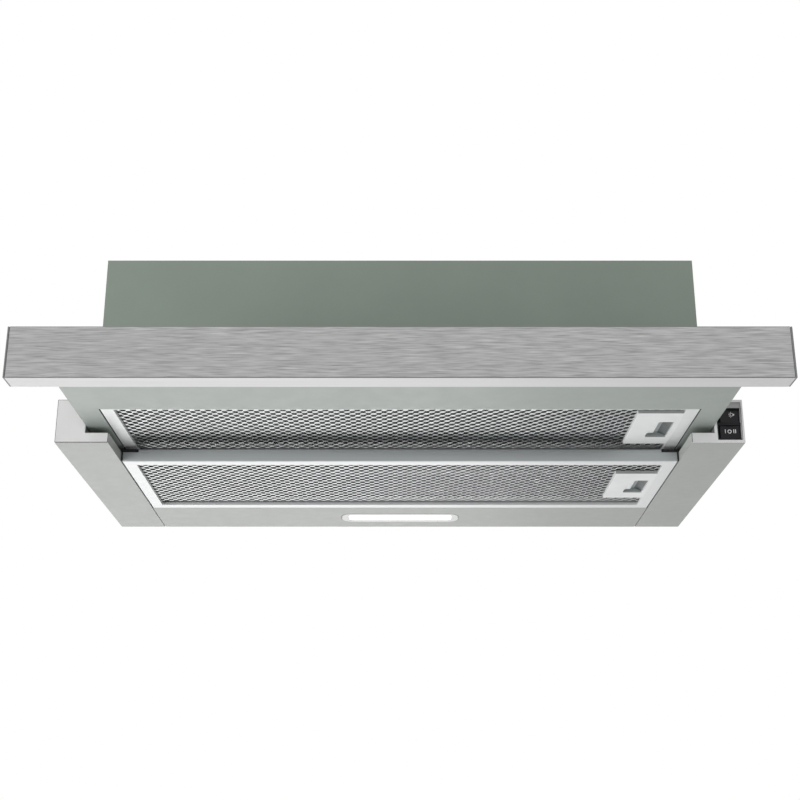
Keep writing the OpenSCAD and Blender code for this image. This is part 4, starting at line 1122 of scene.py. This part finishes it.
@dataclass
class GreaseFilter:
    """One filter: its frame, the stack of expanded foil, the handle plate and the latch."""

    bench: Bench
    end: str
    pitch_x: float = 9.06 * MM
    pitch_y: float = 9.6 * MM
    strand: float = 1.65 * MM
    bond: float = 3.0 * MM
    overlap: float = 0.2 * MM
    lean: float = -0.2 * MM
    foil: float = 0.3 * MM
    back_z: float = 2.9 * MM
    back_shift: float = 0.3
    far_band: float = 14.2 * MM
    latch_room: float = 0.3 * MM
    dish_x: float = 230.0 * MM
    dish_tilt: float = 0.2
    lug: float = 6.5 * MM
    grooves: int = 4
    groove_x: float = 218.9 * MM
    groove_pitch: float = 1.3 * MM
    groove_w: float = 0.55 * MM
    groove_d: float = 0.25 * MM
    groove_margin: float = 2.0 * MM

    def build(self) -> None:
        """Dresses the filter and weaves its nets."""
        bench = self.bench
        frame = bench.rounded(f"{self.end}_filter_frame", Finish.FRAME_ALUMINIUM, 0.55, 3)
        # The frame's front-facing faces are coloured darker: painted shade.
        bench.coat_faces(frame, Finish.FRAME_WALL, self.faces_front)
        plate = bench.rounded(f"{self.end}_handle_plate", Finish.HANDLE_PLASTIC, 0.45, 3)
        self.groove(plate)
        # The plate's front-facing sides are coloured darker: painted shade.
        bench.coat_faces(plate, Finish.HANDLE_SIDE, self.faces_front)
        housing = bench.rounded(f"{self.end}_latch_housing", Finish.LATCH_GREY, 0.3)
        # The dish's right part is coloured near black: painted shade.
        bench.coat_faces(
            housing, Finish.DISH_GREY,
            lambda face: face.normal.z < -self.dish_tilt and face.center.x > self.dish_x,
        )
        bench.rounded(f"{self.end}_latch", Finish.LATCH_PLASTIC, 0.4, 3)
        self.hang_nets()

    @staticmethod
    def faces_front(face: Face) -> bool:
        """Says whether a face looks towards the front."""
        return face.normal.y < FORWARD

    def groove(self, plate: Piece) -> None:
        """Cuts the fine grip grooves into the handle plate, beside the finger recess.

        Args:
            plate: the dressed handle plate.
        """
        low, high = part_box(f"{self.end}_latch")
        front = low.y + self.lug + self.groove_margin
        length = high.y - self.groove_margin - front
        middle = (self.groove_x, front + length / 2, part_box(f"{self.end}_handle_plate")[0].z)
        cutter = block(middle, (self.groove_w, length, 2 * self.groove_d))
        repeat(cutter, self.grooves, (self.groove_pitch, 0, 0))
        carve(plate, cutter)
        even_shading(plate)

    def hang_nets(self) -> None:
        """Hangs the bright outer net and a near-black one behind it, whose colour is painted shade
        seen through the holes.
        """
        node, body = f"{self.end}_filter_mesh", f"{self.end}_filter"
        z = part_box(node)[0].z
        outer, back = f"{self.end}_outer_net", f"{self.end}_back_net"
        self.bench.settle(self.net(z, 0.0), outer, body, Finish.NET_FOIL, node)
        # The back net's near-black colour is painted shade.
        self.bench.settle(self.net(z + self.back_z, self.back_shift), back, body, Finish.BACK_FOIL)

    def net(self, z: float, shift: float) -> Piece:
        """Makes one net of strands that part and meet again in broad bonds.

        Args:
            z: the height of the net's underside.
            shift: how far the pattern is moved, as a share of its pitch.

        Returns:
            The net, cut to the frame's opening.
        """
        low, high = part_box(f"{self.end}_filter_mesh")
        columns = math.ceil((high.x - low.x) / self.pitch_x) + 3
        rows = math.ceil((high.y - low.y) / self.pitch_y) + 2
        strip = self.wave()
        repeat(strip, columns, (self.pitch_x, 0, 0), use_merge_vertices=True, merge_threshold=MERGE)
        modify(strip, "SOLIDIFY", thickness=self.foil, offset=0.0)
        repeat(strip, 2, (self.pitch_x / 2, self.pitch_y / 2, 0))
        repeat(strip, rows, (0, self.pitch_y, 0))
        strip.location = (
            low.x - (1 - shift) * self.pitch_x,
            low.y - (1 - shift) * self.pitch_y,
            z + self.foil / 2 - self.lean,
        )
        place_in_mesh(strip)
        self.trim(strip, low, high)
        return strip

    def wave(self) -> Piece:
        """Makes one wave of a strand: a low bond, a rise, a high bond and a fall.

        Returns:
            The flat wave, which starts at the origin.
        """
        half = self.pitch_x / 2
        rise = self.pitch_y / 2 - self.strand + self.overlap
        # Five columns of points stand at the quarters of the wave. The third and fourth go up,
        # and the second and the fourth go to the ends of the two bonds.
        bpy.ops.mesh.primitive_grid_add(
            x_subdivisions=4, y_subdivisions=1, size=1, location=(0.5, 0.5, 0)
        )
        strip = bpy.context.object
        place_in_mesh(strip)
        low_end, high_end = self.bond / self.pitch_x, (half + self.bond) / self.pitch_x
        with edit(strip):
            shift_points(strip, lambda p: 0.4 < p.x < 0.8, (0, rise / self.strand, 0))
            shift_points(strip, lambda p: 0.2 < p.x < 0.3, (low_end - 0.25, 0, 0))
            shift_points(strip, lambda p: 0.7 < p.x < 0.8, (high_end - 0.75, 0, 0))
        strip.scale = (self.pitch_x, self.strand, 1)
        place_in_mesh(strip)
        with edit(strip):
            shift_points(strip, lambda p: self.far_side(p, half, rise), (0, 0, self.lean))
        return strip

    def far_side(self, point: Vector, half: float, rise: float) -> bool:
        """Says whether a point of the wave is on the strand's far edge.

        Args:
            point: the point.
            half: half the wave's length.
            rise: the wave's height.

        Returns:
            True for a point on the far edge.
        """
        raised = half - MERGE < point.x < half + self.bond + MERGE
        return point.y - (rise if raised else 0.0) > self.strand / 2

    def trim(self, strip: Piece, low: Vector, high: Vector) -> None:
        """Cuts a net to the frame's opening, and clears the latch's place.

        Args:
            strip: the net.
            low: the mesh pack's lowest corner.
            high: the mesh pack's highest corner.
        """
        along, across = (1, 0, 0), (0, 1, 0)
        latch_low, latch_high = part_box(f"{self.end}_latch_housing")
        left, front = latch_low.x - self.latch_room, latch_low.y - self.latch_room
        back = latch_high.y + self.latch_room
        with edit(strip):
            bisect(low, (-1, 0, 0), clear_outer=True)
            bisect(low, (0, -1, 0), clear_outer=True)
            bisect(high, along, clear_outer=True)
            bisect((0, high.y - self.far_band, 0), across, clear_outer=True)
            bisect((left, 0, 0), along)
            bisect((0, front, 0), across)
            bisect((0, back, 0), across)
            pick_faces(strip, lambda face: face.center.x > left and front < face.center.y < back)
            bpy.ops.mesh.delete(type="FACE")


@dataclass
class FilterRail:
    """The rear filter's front rail: a strip with a lip that closes the drawer's slot, coloured grey
    as painted shade.
    """

    bench: Bench
    half: float = 252.0 * MM
    lip_half: float = 238.0 * MM
    proud: float = 0.4 * MM
    bottom: float = 0.7 * MM
    top: float = 9.0 * MM
    lip_top: float = 11.4 * MM
    shade_pad_depth: float = 1.2 * MM
    shade_pad_side: float = 1.0 * MM
    rail_round: float = 0.12 * MM
    shade_pad_round: float = 0.1 * MM

    def build(self) -> None:
        """Makes the rail on the rear filter's front."""
        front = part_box("rear_filter_frame")[0].y
        middle = (0, front - self.proud / 2, (self.bottom + self.top) / 2)
        rail = block(middle, (2 * self.half, self.proud, self.top - self.bottom))
        with edit(rail):
            for side in (-1, 1):
                bisect((side * self.lip_half, 0, 0), (1, 0, 0))
            extrude(
                rail, lambda face: face.normal.z > SQUARE and abs(face.center.x) < self.lip_half,
                (0, 0, self.lip_top - self.top),
            )
        bevel(rail, self.rail_round)
        smooth(rail)
        # The rail's darker grey is painted shade.
        self.bench.settle(rail, "rear_filter_rail", "rear_filter", Finish.RAIL_ALUMINIUM)
        self.shade_pads(front)

    def shade_pads(self, front: float) -> None:
        """Puts a black block on each end of the rail, over the slot beside its lip: painted shade
        for the dark slot there.

        Args:
            front: the place of the frame's front along Y.
        """
        across, up = (self.lip_half + self.half) / 2, (self.top + self.lip_top) / 2
        height = self.lip_top - self.top + self.proud
        size = (self.half - self.lip_half, self.shade_pad_depth, height)
        shade_pad = block((across, front - self.proud, up), size)
        with edit(shade_pad):
            extrude(shade_pad, lambda face: face.normal.x > SQUARE, (self.shade_pad_side, 0, 0))
            extrude(
                shade_pad, lambda face: face.normal.z < -SQUARE and face.center.x > self.half,
                (0, 0, self.bottom - self.top),
            )
        bevel(shade_pad, self.shade_pad_round)
        mirror(shade_pad)
        smooth(shade_pad)
        # Black, as painted shade of the slot.
        self.bench.settle(shade_pad, "rail_pads", "rear_filter", Finish.SEAL_FOAM)


@dataclass
class Rocker:
    """One rocker switch with its printed marks."""

    bench: Bench
    name: str
    tilt: float
    depth: float = 0.06 * MM
    pivot_x: float = 287.5 * MM
    pivot_y: float = -62.8 * MM
    dip: float = 3.2 * MM
    rise: float = 1.6 * MM
    reach: float = 9.5 * MM
    mark_up: float = 0.9 * MM
    wall: float = 1.0 * MM
    ring_sides: int = 36
    line_sides: int = 8

    def build(self) -> None:
        """Dresses the switch and prints its marks."""
        bench, node = self.bench, f"{self.name}_switch_body"
        body = bench.rounded(node, Finish.BLACK_PLASTIC, 0.3)
        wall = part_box(node)[1].x - self.wall
        with edit(body):
            bisect((wall, 0, 0), (1, 0, 0))
        # The body's right wall beside the rocker is coloured mid grey: painted shade of the recess
        # there.
        bench.coat_faces(body, Finish.WELL_GREY, lambda face: face.center.x > wall - MERGE)
        bench.rounded(f"{self.name}_rocker", Finish.ROCKER_PLASTIC, 0.35, 3)
        marks = self.marks()
        bench.settle(marks, f"{self.name}_marks", f"{self.name}_rocker", Finish.WHITE_PRINT)

    def marks(self) -> Piece:
        """Prints the switch's marks, which each kind of switch has its own of."""
        raise NotImplementedError

    def stand_on_face(self, mark: Piece, along: float) -> None:
        """Sets a flat mark, drawn around the origin in X and Y, on the rocker's hollow front.

        Args:
            mark: the mark, which is then a mesh with its place applied.
            along: its distance from the rocker's middle along X.
        """
        low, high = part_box(f"{self.name}_rocker")
        lean, grade = math.radians(self.tilt), self.rise / self.reach
        slope = -math.copysign(math.atan(grade), along) if along else 0.0
        spot = Vector((along, -self.dip - abs(along) * grade - self.depth, 0))
        pivot = Vector((self.pivot_x, self.pivot_y, (low.z + high.z) / 2 + self.mark_up))
        mark.rotation_euler = (math.pi / 2, 0, slope + lean)
        mark.location = pivot + Matrix.Rotation(lean, 3, "Z") @ spot
        place_in_mesh(mark)

    def folded(self, mark: Piece) -> Piece:
        """Folds a mark where the two slopes of the rocker's face meet.

        Args:
            mark: the flat mark around the origin.

        Returns:
            The mark's two halves, each along its own slope.
        """
        halves = []
        for side in (-1, 1):
            half = copy_of(mark)
            with edit(half):
                bisect((0, 0, 0), (side, 0, 0), use_fill=True, clear_inner=True)
            half.rotation_euler = (0, -side * math.atan(self.rise / self.reach), 0)
            place_in_mesh(half)
            halves.append(half)
        bpy.data.objects.remove(mark)
        return join(halves)

    def ring(self, radius: float, width: float) -> Piece:
        """Draws a flat ring around the origin.

        Args:
            radius: its middle radius in metres.
            width: the width of its line.

        Returns:
            The ring, not yet on the face.
        """
        bpy.ops.mesh.primitive_torus_add(
            major_radius=radius, minor_radius=width / 2,
            major_segments=self.ring_sides, minor_segments=self.line_sides,
        )
        mark = bpy.context.object
        with edit(mark):
            bpy.ops.transform.resize(value=(1, 1, 2 * self.depth / width))
        return mark


@dataclass
class SpeedSwitch(Rocker):
    """The fan's rocker, marked with its two speeds and off."""

    ring_r: float = 1.5 * MM
    line: float = 0.62 * MM
    stroke: float = 0.65 * MM
    height: float = 3.5 * MM
    stroke_round: float = 0.13 * MM
    strokes: tuple[float, ...] = (-3.8 * MM, 3.55 * MM, 5.05 * MM)

    def marks(self) -> Piece:
        """Prints one stroke, a ring and two strokes.

        Returns:
            The marks.
        """
        ring = self.folded(self.ring(self.ring_r, self.line))
        self.stand_on_face(ring, 0.0)
        marks = [ring]
        for along in self.strokes:
            bar = block((0, 0, 0), (self.stroke, self.height, self.depth))
            bevel(bar, self.stroke_round)
            self.stand_on_face(bar, along)
            marks.append(bar)
        return join(marks)


@dataclass
class LampSwitch(Rocker):
    """The lamp's rocker, marked with a small lamp and its rays."""

    middle: float = 2.4 * MM
    raise_by: float = 0.8 * MM
    bulb: float = 1.3 * MM
    line: float = 0.5 * MM
    base_w: float = 1.5 * MM
    base_h: float = 1.1 * MM
    rays: int = 5
    ray_out: float = 2.35 * MM
    ray_l: float = 0.85 * MM
    ray_w: float = 0.36 * MM
    edge: float = 0.02 * MM

    def marks(self) -> Piece:
        """Prints the lamp's ring, its base and its rays, and turns them on their side.

        Returns:
            The mark.
        """
        parts = [
            self.ring(self.bulb, self.line),
            block((0, -self.bulb - self.base_h / 2, 0), (self.base_w, self.base_h, self.depth)),
        ]
        for k in range(self.rays):
            angle = (k + 0.5) * math.pi / self.rays
            ray = block((0, 0, 0), (self.ray_l, self.ray_w, self.depth))
            ray.rotation_euler = (0, 0, angle)
            ray.location = (self.ray_out * math.cos(angle), self.ray_out * math.sin(angle), 0)
            place_in_mesh(ray)
            parts.append(ray)
        mark = join(parts)
        bevel(mark, self.edge, 1)
        mark.rotation_euler = (0, 0, math.pi / 2)
        mark.location = (0, self.raise_by, 0)
        place_in_mesh(mark)
        self.stand_on_face(mark, self.middle)
        return mark


@dataclass
class Fan:
    """The fan inside the box: volute, impeller, motor and what holds them."""

    bench: Bench

    def build(self) -> None:
        """Dresses the fan."""
        self.bench.coat_nodes(Finish.FAN_PLASTIC, "impeller")
        self.bench.round_all(
            ("volute_left", Finish.FAN_PLASTIC, 0.5),
            ("volute_right", Finish.FAN_PLASTIC, 0.5),
            ("motor", Finish.MOTOR_STEEL, 1.5, 3),
            ("motor_bracket", Finish.ZINC, 0.3),
            ("motor_mounts", Finish.MOUNT_RUBBER, 0.5, 3),
            ("motor_shaft", Finish.SPRING_STEEL, 0.4, 2, "zinc"),
        )


@dataclass
class Outlet:
    """The duct collar with its flaps and pin, and the cable gland beside it."""

    bench: Bench

    def build(self) -> None:
        """Dresses the outlet."""
        self.bench.round_all(
            ("duct_collar", Finish.FAN_PLASTIC, 0.5, 3),
            ("damper_flap_left", Finish.FAN_PLASTIC, 0.3),
            ("damper_flap_right", Finish.FAN_PLASTIC, 0.3),
            ("damper_pin", Finish.SPRING_STEEL, 0.3, 2, "zinc"),
            ("cable_gland", Finish.BLACK_PLASTIC, 0.6, 3),
        )


@dataclass
class Screws:
    """The pan head screws: head, cross slot and shank, modelled once and copied."""

    bench: Bench
    head_r: float = 3.2 * MM
    head_t: float = 2.0 * MM
    head_round: float = 0.45 * MM
    head_sides: int = 24
    least_share: float = 0.9
    straight: float = 0.99
    round_over: float = 60.0
    shank_r: float = 1.6 * MM
    slot_w: float = 0.9 * MM
    slot_l: float = 3.9 * MM
    slot_d: float = 1.1 * MM

    def build(self) -> None:
        """Drives a screw wherever the frame has one."""
        for node, length in (("casing_screws", 2.0 * MM), ("panel_screws", 7.0 * MM)):
            model = self.screw(length)
            driven = [self.drive(model, place, facing) for place, facing in self.heads(node)]
            bpy.data.objects.remove(model)
            self.bench.dressed(join(driven), node, Finish.SCREW_ZINC)

    def screw(self, length: float) -> Piece:
        """Models one screw that points down, with the middle of its head's top at the origin.

        Args:
            length: the length of its shank.

        Returns:
            The screw.
        """
        bpy.ops.mesh.primitive_cylinder_add(
            vertices=self.head_sides, radius=self.head_r, depth=self.head_t,
            location=(0, 0, -self.head_t / 2),
        )
        head = bpy.context.object
        place_in_mesh(head)
        with edit(head):
            pick_faces(head, lambda face: face.normal.z < -SQUARE)
            bpy.ops.mesh.inset(thickness=self.head_r - self.shank_r, depth=0)
            extrude(
                head, lambda face: face.normal.z < -SQUARE and face.center.xy.length < MERGE,
                (0, 0, -length),
            )
        for width, depth in ((self.slot_l, self.slot_w), (self.slot_w, self.slot_l)):
            carve(head, block((0, 0, 0), (width, depth, 2 * self.slot_d)))
        bevel(head, self.head_round, 3, self.round_over)
        smooth(head)
        return head

    def heads(self, node: str) -> list[tuple[Vector, Vector]]:
        """Finds the tops of the heads in a node.

        Args:
            node: the node with the frame's plain screws.

        Returns:
            The middle of each top and the way that it faces.
        """
        plain = self.bench.whole_copy(node)
        least = self.least_share * math.pi * self.head_r ** 2
        tops = [
            (face.center.copy(), face.normal.copy())
            for face in plain.data.polygons
            if least < face.area and abs(max(face.normal, key=abs)) > self.straight
        ]
        bpy.data.objects.remove(plain)
        LOG.info("%s has %d heads", node, len(tops))
        return tops

    def drive(self, model: Piece, place: Vector, facing: Vector) -> Piece:
        """Copies the screw to a place.

        Args:
            model: the screw.
            place: the middle of its head's top.
            facing: the way that its head faces.

        Returns:
            The copy.
        """
        screw = copy_of(model)
        screw.rotation_euler = Vector((0, 0, 1)).rotation_difference(facing).to_euler()
        screw.location = place
        place_in_mesh(screw)
        return screw


@dataclass
class Springs:
    """The latches' wound springs and the microswitch's leaf."""

    bench: Bench
    latch_travel: float = 5.5 * MM
    leaf_keep: float = 0.35

    def build(self) -> None:
        """Dresses the springs and gives each its own mesh."""
        for end in ("rear", "front"):
            node = f"{end}_latch_spring"
            spring = self.dress(node)
            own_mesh(spring)
        leaf = self.dress("microswitch_lever")
        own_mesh(leaf)

    def dress(self, node: str) -> Piece:
        """Replaces a spring by a smooth-shaded copy.

        Args:
            node: the spring's node.

        Returns:
            The copy.
        """
        piece = self.bench.whole_copy(node)
        smooth(piece)
        return self.bench.dressed(piece, node, Finish.SPRING_STEEL)


@dataclass
class Wiring:
    """The leads inside the casing."""

    bench: Bench

    def build(self) -> None:
        """Gives the leads their finish."""
        self.bench.coat_nodes(Finish.LEAD_SLEEVE, "wiring_harness")


def main() -> None:
    """Builds the studio and the sub-assemblies, in order."""
    logging.basicConfig(level=logging.INFO, format="%(name)s: %(message)s")
    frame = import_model()
    bench = Bench(frame)
    Studio().build()
    assemblies = [
        Casing(bench),
        Lamp(bench),
        DrawerFront(bench),
        GreaseFilter(bench, "rear"),
        GreaseFilter(bench, "front"),
        FilterRail(bench),
        SpeedSwitch(bench, "speed", tilt=0.0),
        LampSwitch(bench, "lamp", tilt=8.0),
        Fan(bench),
        Outlet(bench),
        Screws(bench),
        Springs(bench),
        Wiring(bench),
    ]
    for assembly in assemblies:
        assembly.build()
        LOG.info("%s is dressed", type(assembly).__name__)
    LOG.info("%d pieces in all", len(bench.made))


if __name__ == "__main__":
    main()
